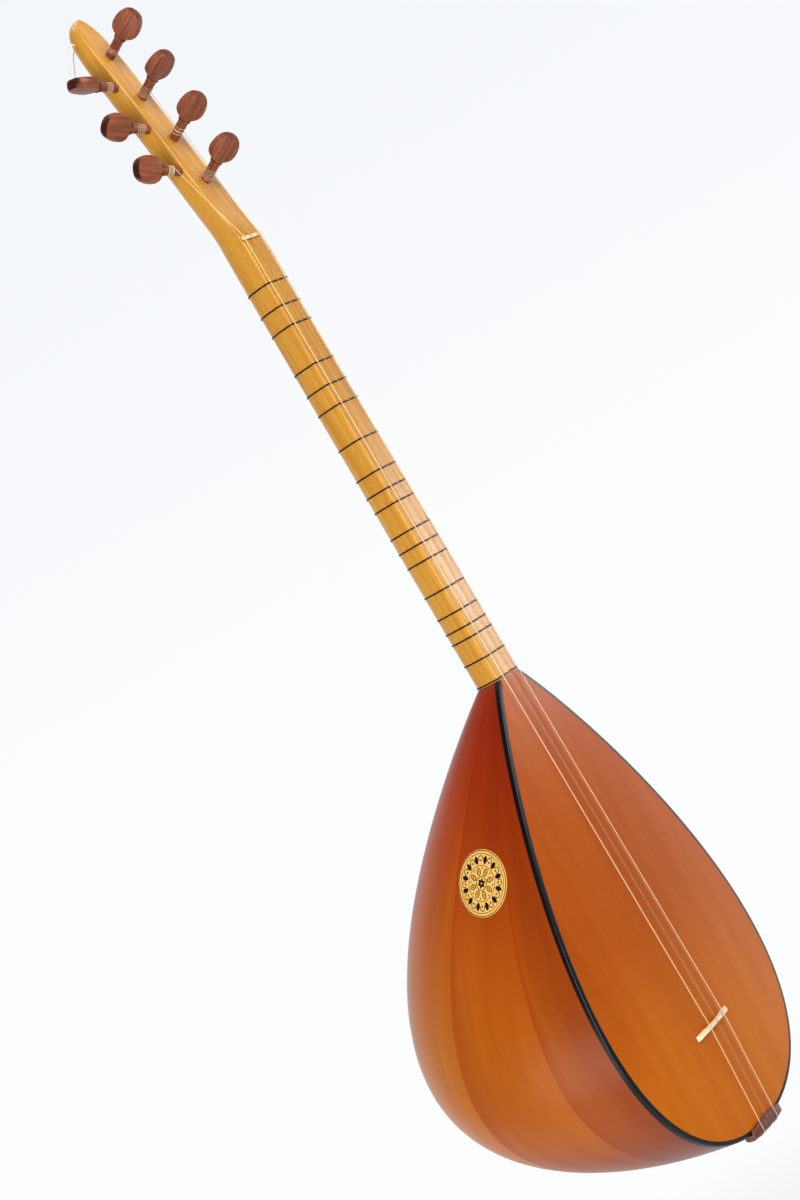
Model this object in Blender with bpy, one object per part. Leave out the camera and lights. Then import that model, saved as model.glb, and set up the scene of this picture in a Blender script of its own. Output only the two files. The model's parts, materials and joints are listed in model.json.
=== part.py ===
"""Short-neck saz: a bowl of seven staves, a soundboard, a fretted neck and a raked head with seven pegs.

Metres. X runs to the right as the strings are seen, -Y is the side of the strings and +Z runs up
the neck. The origin is the tail end of the soundboard, in the plane of its rim.
"""

import math

import bmesh
import bpy
import numpy as np
from mathutils import Vector

# Bowl
BODY_LENGTH = 0.399
BODY_WIDTH = 0.2593
BODY_DEPTH = 0.2396
WIDTH_LEAN_POWER = 0.84
DEPTH_LEAN_POWER = 0.839
DEPTH_CLOSING_POWER = 1.148
BOWL_ROUNDNESS = 2.5
BOWL_WALL = 0.003
STAVE_EDGE_SHARES = (0.075, 0.22, 0.39, 0.61, 0.78, 0.925)
STAVE_DRIFT_SHARE = 0.25
STAVE_TAIL_END = 0.0006
BOWL_ROW_COUNT = 22
BOWL_COLUMN_COUNT = 24

# Soundboard and what lines it
BOARD_THICKNESS = 0.003
BOARD_DOME = 0.0025
DOME_POWER = 0.7
BOARD_SHARE = 0.97
BINDING_WIDTH = 0.0035
BINDING_DEPTH = 0.0045
BINDING_CORNER = 0.0012
LINING_INSET = 0.005
LINING_WIDTH = 0.005
LINING_DEPTH = 0.0076
RIM_END_ANGLE = 0.06
BRACE_HEIGHT = 0.008
BRACE_WIDTH = 0.006
BRACE_HALF_LENGTH = 0.095
BRACE_PLACE = 0.2

# Blocks inside the bowl
NECK_BLOCK_LENGTH = 0.069
TAIL_BLOCK_HEIGHT = 0.03
TAIL_BLOCK_HALF_WIDTH = 0.03
TAIL_BLOCK_BACK = 0.045
BLOCK_FRONT = 0.0118
TENON_HALF_WIDTH = 0.0055
TENON_FRONT = 0.0075
TENON_BACK = 0.0205
TENON_LENGTH = 0.03

# Rosette let into the side of the bowl over a sound hole, its stave counted from the left rim
ROSETTE_RADIUS = 0.0258
ROSETTE_HEIGHT_SHARE = 0.6855
ROSETTE_STAVE_COUNT = 2
ROSETTE_STAVE_SHARE = 0.4287
ROSETTE_PROUD = 0.0003
ROSETTE_SEAT_DEPTH = 0.0015
SOUND_HOLE_RADIUS = 0.0172
ROSETTE_SIDES = 32
PIERCING_RADIUS = 0.0019
PIERCING_RINGS = ((6, 0.0078), (12, 0.0151))

# Neck
SCALE_LENGTH = 0.704
BRIDGE_TO_NECK_SHARE = 0.4429
NECK_WIDTH_AT_BODY = 0.031
NECK_WIDTH_AT_NUT = 0.028
NECK_DEPTH = 0.0289
NECK_ROUNDNESS = 2.6
NECK_LEAN_SLOPE = 0.0116
SCARF_SLOPE = 1.4
SCARF_PAST_NUT = 0.004

# Head: height above the scarf, set-back of the face, half width and thickness at each station
HEAD_STATIONS = (
    (0.0, 0.0, 0.0140, 0.0275),
    (0.008, 0.0027, 0.0141, 0.0257),
    (0.030, 0.0076, 0.0147, 0.0235),
    (0.055, 0.0120, 0.0147, 0.0229),
    (0.085, 0.0168, 0.0142, 0.0228),
    (0.115, 0.0218, 0.0137, 0.0229),
    (0.145, 0.0269, 0.0138, 0.0227),
    (0.170, 0.0314, 0.0138, 0.0218),
    (0.188, 0.0352, 0.0134, 0.0198),
    (0.1975, 0.0371, 0.0122, 0.0183),
    (0.203, 0.0382, 0.0104, 0.0166),
    (0.208, 0.0392, 0.0077, 0.0140),
    (0.2115, 0.0399, 0.0046, 0.0105),
    (0.2134, 0.04028, 0.0016, 0.0065),
)
HANGING_HOLE_RISE = 0.1963
HANGING_HOLE_DEPTH = 0.0113
HANGING_HOLE_RADIUS = 0.0012

# Pegs: the top ones' rise above the scarf, and stations of the head of a peg along it
FRONT_PEG_COUNT = 4
FRONT_PEG_RISE = 0.1753
FRONT_PEG_SPACING = 0.0408
FRONT_PEG_SIDEWAYS = 0.0009
FRONT_PEG_LIFT = math.radians(20.5)
FRONT_PEG_PROUD = 0.0015
SIDE_PEG_COUNT = 3
SIDE_PEG_RISE = 0.1493
SIDE_PEG_SPACING = 0.0411
SIDE_PEG_SINK = 0.005
SIDE_PEG_BURIED = 0.018
SIDE_PEG_WAY = (-0.0295, 0.003, 0.0085)
PEG_TIP_RADIUS = 0.0033
PEG_SHAFT_RADIUS = 0.0041
PEG_SHAFT_LENGTH = 0.0175
PEG_SIDES = 12
PEG_HEAD = (
    (0.0, 0.0050, 0.0050),
    (0.0014, 0.0052, 0.0052),
    (0.0018, 0.0041, 0.0041),
    (0.0028, 0.0041, 0.0041),
    (0.0030, 0.0050, 0.0050),
    (0.0052, 0.0084, 0.0052),
    (0.0088, 0.0109, 0.0050),
    (0.0150, 0.0109, 0.0046),
    (0.0212, 0.0096, 0.0041),
    (0.0264, 0.0072, 0.0036),
)
PEG_HOLE_REACH = 0.004
FRONT_PEG_TURNS = (2.1, 2.65, 2.4, 2.26)
SIDE_PEG_TURNS = (2.0, 1.0, 1.0)

# Frets, in semitones above the open string
FRET_STEPS = (
    1.0, 1.52, 1.98, 2.96, 3.53, 4.06, 5.06, 5.99, 6.54, 7.0,
    7.91, 8.42, 8.95, 10.07, 10.96, 11.58, 12.03, 12.99, 14.03,
)
FRET_THICKNESS = 0.0011
FRET_SIDES = 5
KNOT_SWELL_RATIO = 1.7

# Nut, bridge and tailpiece
NUT_THICKNESS = 0.0028
NUT_HEIGHT = 0.0014
NUT_CORNER = 0.0004
BRIDGE_LENGTH = 0.056
BRIDGE_TOP_LENGTH = 0.0504
BRIDGE_LEVEL_LENGTH = 0.031
BRIDGE_END_SLOPE = 0.18
BRIDGE_TOP = 0.0066
BRIDGE_FOOT_THICKNESS = 0.0054
BRIDGE_TOP_THICKNESS = 0.0024
BRIDGE_SKEW_SLOPE = 0.035
BRIDGE_FOOT_LENGTH = 0.012
BRIDGE_ARCH = 0.0016
TAILPIECE_WIDTH = 0.0495
TAILPIECE_RISE = 0.0035
TAILPIECE_REACH = 0.006
TAILPIECE_NOSE = 0.0042
TAILPIECE_DEPTH = 0.0078
NOTCH_DEPTH = 0.0005
NOTCH_HALF_WIDTH = 0.0005

# Strings: course and place in the course
STRINGS = ((-1, -0.5), (-1, 0.5), (0, -0.5), (0, 0.5), (1, -1.0), (1, 0.0), (1, 1.0))
COURSE_SPREAD_AT_TAIL = 0.0119
COURSE_SPREAD_AT_BRIDGE = 0.0117
COURSE_SPREAD_AT_NUT = 0.0093
COURSE_SHIFT_AT_TAIL = -0.0004
COURSE_SHIFT_AT_BRIDGE = 0.0011
COURSE_SHIFT_AT_NUT = -0.0025
STRING_GAP = 0.0015
STRING_RADIUS = 0.00025
WINDING_RADIUS = 0.0003
WINDING_PITCH = 0.0013
WINDING_TURNS = 3
WINDING_POINTS = 16
FRONT_WINDING_PLACES = (0.005, 0.007, 0.009, 0.009)
SIDE_WINDING_PLACES = (0.004, 0.007, 0.010)

# Cord through the tip of the head, in points seen from the middle of its hole
LOOP_RADIUS = 0.0005
LOOP_ROUTE = (
    (-0.0125, 0.0015, 0.0020),
    (-0.0125, 0.0045, 0.0015),
    (-0.0125, 0.0090, -0.0040),
    (-0.0125, 0.0135, -0.0115),
    (-0.0115, 0.0180, -0.0190),
    (-0.0095, 0.0205, -0.0235),
    (-0.0045, 0.0205, -0.0195),
    (-0.0015, 0.0180, -0.0115),
    (0.0005, 0.0155, -0.0045),
    (0.0040, 0.0135, 0.0015),
    (0.0085, 0.0120, 0.0010),
    (0.0135, 0.0085, 0.0000),
    (0.0150, 0.0025, 0.0000),
)
LOOP_STRAIGHT = 0.0095
LOOP_SPACING = 0.0026

# Clearances, and how far a cutter runs past what it cuts
GAP = 0.0003
BLOCK_CLEARANCE = 0.0007
CUT_REACH = 0.02

FINISHES = {
    "stave_mahogany": ((0.28, 0.055, 0.012), 0.18, 0.0),
    "board_spruce": ((0.53, 0.13, 0.015), 0.32, 0.0),
    "binding_plastic": ((0.012, 0.014, 0.018), 0.25, 0.0),
    "inner_linden": ((0.55, 0.38, 0.2), 0.7, 0.0),
    "neck_beech": ((0.62, 0.29, 0.045), 0.3, 0.0),
    "rosette_boxwood": ((0.6, 0.42, 0.22), 0.45, 0.0),
    "nut_bone": ((0.75, 0.66, 0.48), 0.35, 0.0),
    "bridge_maple": ((0.66, 0.45, 0.22), 0.5, 0.0),
    "tailpiece_rosewood": ((0.14, 0.05, 0.04), 0.3, 0.0),
    "peg_rosewood": ((0.2, 0.06, 0.04), 0.3, 0.0),
    "fret_nylon": ((0.03, 0.026, 0.025), 0.4, 0.0),
    "string_steel": ((0.75, 0.73, 0.68), 0.25, 1.0),
    "string_bronze": ((0.8, 0.5, 0.18), 0.3, 1.0),
    "loop_cotton": ((0.7, 0.62, 0.5), 0.85, 0.0),
}

BRIDGE_PLACE = BODY_LENGTH - SCALE_LENGTH * BRIDGE_TO_NECK_SHARE
NUT_PLACE = BRIDGE_PLACE + SCALE_LENGTH
SCARF_PLACE = NUT_PLACE + SCARF_PAST_NUT
NECK_BLOCK_END = BODY_LENGTH - NECK_BLOCK_LENGTH
RIM_DEPTH = BINDING_DEPTH + GAP
ROSETTE_HEIGHT = BODY_LENGTH * ROSETTE_HEIGHT_SHARE
STAVE_COUNT = len(STAVE_EDGE_SHARES) + 1
FRET_RADIUS = FRET_THICKNESS / 2
WAY_STEP = 0.001
LENS_RATIO = 1.5


def clear_scene():
    """Remove whatever the scene holds."""
    for thing in list(bpy.data.objects):
        bpy.data.objects.remove(thing, do_unlink=True)


def finish(name):
    """The material of a finish, made once."""
    material = bpy.data.materials.get(name)
    if material is None:
        colour, roughness, metallic = FINISHES[name]
        material = bpy.data.materials.new(name)
        material.use_nodes = True
        shader = material.node_tree.nodes["Principled BSDF"]
        shader.inputs["Base Color"].default_value = (*colour, 1.0)
        shader.inputs["Roughness"].default_value = roughness
        shader.inputs["Metallic"].default_value = metallic
        material.diffuse_color = (*colour, 1.0)
    return material


def add_mesh(name, points, faces, finish_name, smooth_below=40.0):
    """A mesh object whose faces all point outwards."""
    mesh = bpy.data.meshes.new(name)
    mesh.from_pydata([tuple(point) for point in points], [], faces)
    shape = bmesh.new()
    shape.from_mesh(mesh)
    bmesh.ops.recalc_face_normals(shape, faces=shape.faces)
    shape.to_mesh(mesh)
    shape.free()
    mesh.materials.append(finish(finish_name))
    mesh.shade_smooth()
    mesh.set_sharp_from_angle(angle=math.radians(smooth_below))
    piece = bpy.data.objects.new(name, mesh)
    bpy.context.collection.objects.link(piece)
    return piece


def loft(name, rings, finish_name, endless=False, smooth_below=40.0):
    """A solid through rings of equally many points, with flat ends unless it is endless."""
    count = len(rings[0])
    points = [point for ring in rings for point in ring]
    faces = []
    for row in range(len(rings) if endless else len(rings) - 1):
        here = row * count
        there = (row + 1) % len(rings) * count
        for step in range(count):
            after = (step + 1) % count
            faces.append((here + step, here + after, there + after, there + step))
    if not endless:
        faces.append(tuple(range(count)))
        faces.append(tuple(range(len(points) - count, len(points))))
    return add_mesh(name, points, faces, finish_name, smooth_below)


def shell(name, outer, inner, finish_name):
    """A wall between two grids of points, closed along its four edges."""
    rings = []
    for outer_row, inner_row in zip(outer, inner):
        rings.append(list(outer_row) + list(reversed(inner_row)))
    return loft(name, rings, finish_name)


def tube(name, points, radius, resolution, finish_name):
    """A round wire or cord along points, with filled ends."""
    curve = bpy.data.curves.new(name, "CURVE")
    curve.dimensions = "3D"
    curve.bevel_depth = radius
    curve.bevel_resolution = resolution
    curve.use_fill_caps = True
    spline = curve.splines.new("POLY")
    spline.points.add(len(points) - 1)
    for target, point in zip(spline.points, points):
        target.co = (*point, 1.0)
    curve.materials.append(finish(finish_name))
    piece = bpy.data.objects.new(name, curve)
    bpy.context.collection.objects.link(piece)
    return piece


def hide_tool(tool):
    """Mark a cutter as a tool that isn't part of the object."""
    tool.hide_render = True
    tool.display_type = "WIRE"


def combine(piece, tool, operation):
    """Cut, join or intersect a piece with a tool."""
    hide_tool(tool)
    change = piece.modifiers.new(operation.lower(), "BOOLEAN")
    change.operation = operation
    change.solver = "EXACT"
    change.object = tool


def box(name, low, high):
    """A box between two corners, used as a tool."""
    rings = []
    for z in (low[2], high[2]):
        corners = ((low[0], low[1]), (high[0], low[1]), (high[0], high[1]), (low[0], high[1]))
        rings.append([(x, y, z) for x, y in corners])
    return loft(name, rings, "inner_linden")


def across(way):
    """Two unit vectors square to a way and to each other."""
    first = Vector((0.0, 0.0, 1.0)).cross(way)
    if first.length < WAY_STEP:
        first = Vector((1.0, 0.0, 0.0))
    first.normalize()
    return first, way.cross(first).normalized()


def turned(name, start, way, stations, finish_name, sides=PEG_SIDES, turn=0.0):
    """A solid along a way, through stations of length, half width and half thickness.

    A section as wide as it is thick is round. A wider one runs to a sharp edge at each side.
    """
    wide, thick = across(way)
    rings = []
    for length, half_width, half_thickness in stations:
        lens = min(1.0, (half_width / half_thickness - 1.0) / (LENS_RATIO - 1.0))
        ring = []
        for step in range(sides):
            angle = math.tau * step / sides
            right = half_width * math.cos(angle)
            up = half_thickness * math.sin(angle) * abs(math.sin(angle)) ** lens
            side = right * math.cos(turn) - up * math.sin(turn)
            rise = right * math.sin(turn) + up * math.cos(turn)
            ring.append(start + way * length + wide * side + thick * rise)
        rings.append(ring)
    return loft(name, rings, finish_name)


# The form of the bowl. An angle of 0 is the neck end and pi is the tail end.


def body_height(angle):
    """Height of a section of the bowl."""
    return BODY_LENGTH * (1.0 + math.cos(angle)) / 2.0


def body_angle(height):
    """Angle of the section at a height."""
    return math.acos(2.0 * height / BODY_LENGTH - 1.0)


def swelling(angle, lean, closing):
    """Share of the full swell that a section has."""
    return (angle / math.pi) ** lean * max(math.sin(angle), 0.0) ** closing


def full_swell(total, joint_size, lean, closing):
    """Swell at which the largest section just reaches the total."""
    limits = []
    for angle in np.linspace(0.2, 3.0, 141):
        rest = total - joint_size * body_height(angle) / BODY_LENGTH
        limits.append(rest / swelling(angle, lean, closing))
    return min(limits)


WIDTH_SWELL = full_swell(BODY_WIDTH / 2, NECK_WIDTH_AT_BODY / 2, WIDTH_LEAN_POWER, 1.0)
DEPTH_SWELL = full_swell(BODY_DEPTH, NECK_DEPTH, DEPTH_LEAN_POWER, DEPTH_CLOSING_POWER)


def body_half_width(angle):
    """Half width of the section at an angle."""
    taper = NECK_WIDTH_AT_BODY / 2 * body_height(angle) / BODY_LENGTH
    return WIDTH_SWELL * swelling(angle, WIDTH_LEAN_POWER, 1.0) + taper


def body_depth(angle):
    """Depth of the section at an angle."""
    taper = NECK_DEPTH * body_height(angle) / BODY_LENGTH
    return DEPTH_SWELL * swelling(angle, DEPTH_LEAN_POWER, DEPTH_CLOSING_POWER) + taper


def rounded(value, roundness):
    """A sine or cosine bent towards a squarer curve."""
    return math.copysign(abs(value) ** (2.0 / roundness), value)


def bowl_skin(angle, turn):
    """Point of the outer skin: a turn of 0 is the right rim and pi is the left rim."""
    x = body_half_width(angle) * rounded(math.cos(turn), BOWL_ROUNDNESS)
    y = body_depth(angle) * rounded(math.sin(turn), BOWL_ROUNDNESS)
    return Vector((x, y, body_height(angle)))


def bowl_normal(angle, turn):
    """Outward normal of the outer skin."""
    along = bowl_skin(angle + WAY_STEP, turn) - bowl_skin(angle - WAY_STEP, turn)
    round_it = bowl_skin(angle, turn + WAY_STEP) - bowl_skin(angle, turn - WAY_STEP)
    normal = along.cross(round_it).normalized()
    outwards = bowl_skin(angle, turn) - Vector((0.0, 0.0, BODY_LENGTH / 2))
    return normal if normal.dot(outwards) > 0 else -normal


def bowl_point(angle, turn, inset=0.0):
    """Point at a depth below the outer skin."""
    return bowl_skin(angle, turn) - bowl_normal(angle, turn) * inset


NECK_END_ANGLE = body_angle(BODY_LENGTH - GAP)
TAIL_END_ANGLE = body_angle(STAVE_TAIL_END)
DEEPEST_ANGLE = max(np.linspace(NECK_END_ANGLE, TAIL_END_ANGLE, 401), key=body_depth)


def bowl_angles():
    """Angles of the bowl's rows, from neck to tail, with one at the deepest section."""
    share = (DEEPEST_ANGLE - NECK_END_ANGLE) / (TAIL_END_ANGLE - NECK_END_ANGLE)
    above = round((BOWL_ROW_COUNT - 1) * share)
    upper = np.linspace(NECK_END_ANGLE, DEEPEST_ANGLE, above + 1)
    lower = np.linspace(DEEPEST_ANGLE, TAIL_END_ANGLE, BOWL_ROW_COUNT - above)
    return np.concatenate((upper, lower[1:]))


def turns_at_shares(angle, shares):
    """Turns at shares of the way round a section, between the two edges of the rim."""
    rim = math.asin(min(1.0, (RIM_DEPTH / body_depth(angle)) ** (BOWL_ROUNDNESS / 2)))
    turns = np.linspace(math.pi - rim, rim, 161)
    points = [bowl_skin(angle, turn) for turn in turns]
    steps = [(after - before).length for before, after in zip(points, points[1:])]
    ways = np.concatenate(([0.0], np.cumsum(steps)))
    return np.interp(np.array(shares) * ways[-1], ways, turns), ways[-1]


def edge_share(edge, angle):
    """Share of the way round at which two staves meet: staves are narrow at both ends."""
    return edge + STAVE_DRIFT_SHARE * (angle / math.pi - 0.5) * math.sin(math.tau * edge)


def stave_edges(number):
    """Edges of a stave half way down the bowl, and its count of columns, which is even."""
    edges = (0.0,) + STAVE_EDGE_SHARES + (1.0,)
    first, last = edges[number - 1], edges[number]
    return first, last, 2 * max(1, round((last - first) * BOWL_COLUMN_COUNT / 2))


def make_stave(number):
    """One bent stave of the bowl, with a gap to its neighbours."""
    first, last, columns = stave_edges(number)
    outer = []
    inner = []
    for angle in bowl_angles():
        way_round = turns_at_shares(angle, (0.0,))[1]
        half_gap = GAP / 2 / way_round
        low = edge_share(first, angle) + (half_gap if number > 1 else 0.0)
        high = edge_share(last, angle) - (half_gap if number < STAVE_COUNT else 0.0)
        turns = turns_at_shares(angle, np.linspace(low, high, columns + 1))[0]
        outer.append([bowl_point(angle, turn) for turn in turns])
        inner.append([bowl_point(angle, turn, BOWL_WALL) for turn in turns])
    return shell(f"stave_{number}", outer, inner, "stave_mahogany")


def bowl_solid(name, inset):
    """The whole form inside a depth below the skin, with the staves' own columns, used as a tool."""
    rings = []
    for angle in bowl_angles():
        shares = [0.0]
        for number in range(1, STAVE_COUNT + 1):
            first, last, columns = stave_edges(number)
            shares += list(np.linspace(edge_share(first, angle), edge_share(last, angle), columns + 1)[1:])
        turns = [math.pi] + list(turns_at_shares(angle, shares)[0]) + [0.0]
        rings.append([bowl_point(angle, turn, inset) for turn in turns])
    return loft(name, rings, "inner_linden")


def rosette_way():
    """Angle and turn of the rosette's middle, at a share of the way across its stave."""
    angle = body_angle(ROSETTE_HEIGHT)
    first, last, _ = stave_edges(ROSETTE_STAVE_COUNT)
    low = edge_share(first, angle)
    high = edge_share(last, angle)
    turns, _ = turns_at_shares(angle, (low + (high - low) * ROSETTE_STAVE_SHARE,))
    return angle, float(turns[0])


def rod(name, middle, way, radius, finish_name, sides):
    """A round rod that reaches as far to both sides of a point."""
    stations = [(-CUT_REACH, radius, radius), (CUT_REACH, radius, radius)]
    return turned(name, middle, way, stations, finish_name, sides)


def make_bowl():
    """Seven staves, with the rosette let into a shallow seat in the left side over a sound hole."""
    staves = [make_stave(number) for number in range(1, STAVE_COUNT + 1)]
    angle, turn = rosette_way()
    middle = bowl_skin(angle, turn)
    normal = bowl_normal(angle, turn)
    seat = rod("seat", middle, normal, ROSETTE_RADIUS + GAP, "inner_linden", ROSETTE_SIDES)
    combine(seat, bowl_solid("seat_floor", ROSETTE_SEAT_DEPTH), "DIFFERENCE")
    sound_hole = rod("sound_hole", middle, normal, SOUND_HOLE_RADIUS, "inner_linden", ROSETTE_SIDES)
    for stave in staves[:3]:
        combine(stave, seat, "DIFFERENCE")
        combine(stave, sound_hole, "DIFFERENCE")
    rosette = rod("rosette", middle, normal, ROSETTE_RADIUS, "rosette_boxwood", ROSETTE_SIDES)
    combine(rosette, bowl_solid("rosette_face", -ROSETTE_PROUD), "INTERSECT")
    combine(rosette, bowl_solid("rosette_back", ROSETTE_SEAT_DEPTH - GAP), "DIFFERENCE")
    wide, high = across(normal)
    for count, radius in PIERCING_RINGS:
        for step in range(count):
            swing = math.tau * step / count
            place = middle + wide * radius * math.cos(swing) + high * radius * math.sin(swing)
            piercing = rod("piercing", place, normal, PIERCING_RADIUS, "inner_linden", 6)
            combine(rosette, piercing, "DIFFERENCE")


# The rim and the soundboard


def outline(angle, inset=0.0):
    """Half width and height of the body's outline, drawn in along its own normal."""
    before = Vector((body_half_width(angle - WAY_STEP), body_height(angle - WAY_STEP)))
    reach = min(angle + WAY_STEP, math.pi)
    after = Vector((body_half_width(reach), body_height(reach)))
    way = (after - before).normalized()
    x = body_half_width(angle) + way.y * inset
    z = body_height(angle) + (-way.x) * inset
    if angle <= NECK_END_ANGLE:
        z = BODY_LENGTH - GAP
    return x, z


def board_front(x, z):
    """Place of the soundboard's outer face."""
    share = min(max(z / BODY_LENGTH, 0.0), 1.0)
    half_width = max(body_half_width(body_angle(share * BODY_LENGTH)), 0.001)
    rise = math.sin(math.pi * share) ** DOME_POWER
    return -BOARD_DOME * rise * max(0.0, 1.0 - (x / half_width) ** 2)


def rim_angles(start=NECK_END_ANGLE):
    """Angles of the rim's rows, from neck to just beside the middle of the tail."""
    angles = np.linspace(NECK_END_ANGLE, math.pi - RIM_END_ANGLE, BOWL_ROW_COUNT + 4)
    return [angle for angle in angles if angle >= start]


def make_soundboard():
    """A thin domed plate inside the binding."""
    outer = []
    inner = []
    for angle in rim_angles():
        half_width, z = outline(angle, BINDING_WIDTH + GAP)
        row = [(share * half_width, z) for share in np.linspace(-1.0, 1.0, 9)]
        outer.append([Vector((x, board_front(x / BOARD_SHARE, z), z)) for x, z in row])
        inner.append([point + Vector((0.0, BOARD_THICKNESS, 0.0)) for point in outer[-1]])
    return shell("soundboard", outer, inner, "board_spruce")


def round_the_rim(name, section, start_angle, finish_name):
    """A strip from the neck round the tail and back, through a section of inset and depth."""
    angles = rim_angles(start_angle)
    rings = []
    for side, run in ((-1.0, angles), (0.0, [math.pi]), (1.0, reversed(angles))):
        for angle in run:
            ring = []
            for inset, y in section:
                x, z = outline(angle, inset)
                ring.append((side * x, y, z if side else inset))
            rings.append(ring)
    return loft(name, rings, finish_name)


def make_rim():
    """The dark binding at the edge and the lining under the soundboard."""
    corner = BINDING_CORNER
    edge = (
        (0.0, corner),
        (corner * 0.3, corner * 0.3),
        (corner, 0.0),
        (BINDING_WIDTH, 0.0),
        (BINDING_WIDTH, BINDING_DEPTH),
        (0.0, BINDING_DEPTH),
    )
    round_the_rim("edge_binding", edge, NECK_END_ANGLE, "binding_plastic")
    top = BOARD_THICKNESS + GAP
    inside = LINING_INSET + LINING_WIDTH
    lining = (
        (LINING_INSET, top),
        (inside, top),
        (inside, top + LINING_DEPTH / 2),
        (LINING_INSET + LINING_WIDTH * 0.3, top + LINING_DEPTH),
    )
    round_the_rim("rim_lining", lining, body_angle(NECK_BLOCK_END - GAP), "inner_linden")


def make_brace():
    """A bar across the underside of the soundboard, scalloped at its ends."""
    rings = []
    for share in np.linspace(-1.0, 1.0, 9):
        x = share * BRACE_HALF_LENGTH
        top = board_front(x / BOARD_SHARE, BRACE_PLACE) + BOARD_THICKNESS + GAP
        bottom = top + BRACE_HEIGHT * (1.0 - 0.65 * share ** 4)
        low = BRACE_PLACE - BRACE_WIDTH / 2
        high = BRACE_PLACE + BRACE_WIDTH / 2
        rings.append([(x, top, low), (x, top, high), (x, bottom, high - 0.001), (x, bottom, low + 0.001)])
    return loft("soundboard_brace", rings, "inner_linden")


def make_blocks():
    """The blocks that join the staves to the neck and to each other at the tail."""
    reach = BODY_WIDTH
    front = BOARD_THICKNESS + GAP * 2
    neck_block = box("neck_block", (-reach, front, NECK_BLOCK_END), (reach, reach, BODY_LENGTH - GAP * 3))
    combine(neck_block, bowl_solid("neck_block_form", BOWL_WALL + BLOCK_CLEARANCE), "INTERSECT")
    mortise_low = (-TENON_HALF_WIDTH - GAP, TENON_FRONT - GAP, BODY_LENGTH - TENON_LENGTH - GAP * 2)
    mortise_high = (TENON_HALF_WIDTH + GAP, TENON_BACK + GAP, BODY_LENGTH + reach)
    combine(neck_block, box("mortise", mortise_low, mortise_high), "DIFFERENCE")
    tail_low = (-TAIL_BLOCK_HALF_WIDTH, BLOCK_FRONT, 0.0)
    tail_high = (TAIL_BLOCK_HALF_WIDTH, TAIL_BLOCK_BACK, TAIL_BLOCK_HEIGHT)
    tail_block = box("tail_block", tail_low, tail_high)
    combine(tail_block, bowl_solid("tail_block_form", BOWL_WALL + BLOCK_CLEARANCE), "INTERSECT")


# The neck and the head


def neck_front(z):
    """Place of the neck's front face."""
    return (z - BODY_LENGTH) * NECK_LEAN_SLOPE


def neck_half_width(z):
    """Half width of the neck."""
    share = (z - BODY_LENGTH) / (NUT_PLACE - BODY_LENGTH)
    return (NECK_WIDTH_AT_BODY + (NECK_WIDTH_AT_NUT - NECK_WIDTH_AT_BODY) * share) / 2


def neck_section(front, half_width, depth, z, count=15):
    """A flat front with a rounded back."""
    ring = []
    for turn in np.linspace(0.0, math.pi, count):
        x = half_width * rounded(math.cos(turn), NECK_ROUNDNESS)
        y = front + depth * abs(rounded(math.sin(turn), NECK_ROUNDNESS))
        ring.append(Vector((x, y, z)))
    return ring


def scarf_ring(past):
    """The neck's section cut along the slope of the scarf joint."""
    ring = neck_section(neck_front(SCARF_PLACE), neck_half_width(NUT_PLACE), NECK_DEPTH, SCARF_PLACE)
    front = ring[0].y
    for point in ring:
        point.z += past - SCARF_SLOPE * (point.y - front)
        point.y += NECK_LEAN_SLOPE * (point.z - SCARF_PLACE)
    return ring


def make_neck():
    """The neck, with a tenon for the neck block and a sloping scarf for the head."""
    rings = []
    for z in np.linspace(BODY_LENGTH, NUT_PLACE - NECK_DEPTH * SCARF_SLOPE - 0.002, 3):
        rings.append(neck_section(neck_front(z), neck_half_width(z), NECK_DEPTH, z))
    rings.append(scarf_ring(0.0))
    neck = loft("neck", rings, "neck_beech", smooth_below=35.0)
    low = (-TENON_HALF_WIDTH, TENON_FRONT, BODY_LENGTH - TENON_LENGTH)
    combine(neck, box("tenon", low, (TENON_HALF_WIDTH, TENON_BACK, BODY_LENGTH + 0.01)), "UNION")
    return neck


def head_size(z):
    """Set-back of the face, half width and thickness of the head at a height."""
    heights, *columns = zip(*HEAD_STATIONS)
    return [float(np.interp(z - SCARF_PLACE, heights, column)) for column in columns]


def head_face(z):
    """Place of the head's front face, which bends back from the neck."""
    return neck_front(SCARF_PLACE) + head_size(z)[0]


def front_peg(number):
    """Seat, way and buried length of a peg in the face of the head."""
    z = SCARF_PLACE + FRONT_PEG_RISE - FRONT_PEG_SPACING * (number - 1)
    way = Vector((0.0, -math.cos(FRONT_PEG_LIFT), math.sin(FRONT_PEG_LIFT)))
    buried = head_size(z)[2] + FRONT_PEG_PROUD
    return Vector((FRONT_PEG_SIDEWAYS, head_face(z), z)), way, buried


def side_peg(number):
    """Seat, way and buried length of a peg in the left side of the head."""
    z = SCARF_PLACE + SIDE_PEG_RISE - SIDE_PEG_SPACING * (number - 1)
    seat = Vector((-head_size(z)[1], head_face(z) + SIDE_PEG_SINK, z))
    return seat, Vector(SIDE_PEG_WAY).normalized(), SIDE_PEG_BURIED


def all_pegs():
    """Name, seat, way, buried length, turn and place of the winding of every peg."""
    pegs = []
    for number in range(1, FRONT_PEG_COUNT + 1):
        seat, way, buried = front_peg(number)
        turn = FRONT_PEG_TURNS[number - 1]
        pegs.append((f"front_{number}", seat, way, buried, turn, FRONT_WINDING_PLACES[number - 1]))
    for number in range(1, SIDE_PEG_COUNT + 1):
        seat, way, buried = side_peg(number)
        turn = SIDE_PEG_TURNS[number - 1]
        pegs.append((f"side_{number}", seat, way, buried, turn, SIDE_WINDING_PLACES[number - 1]))
    return pegs


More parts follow.
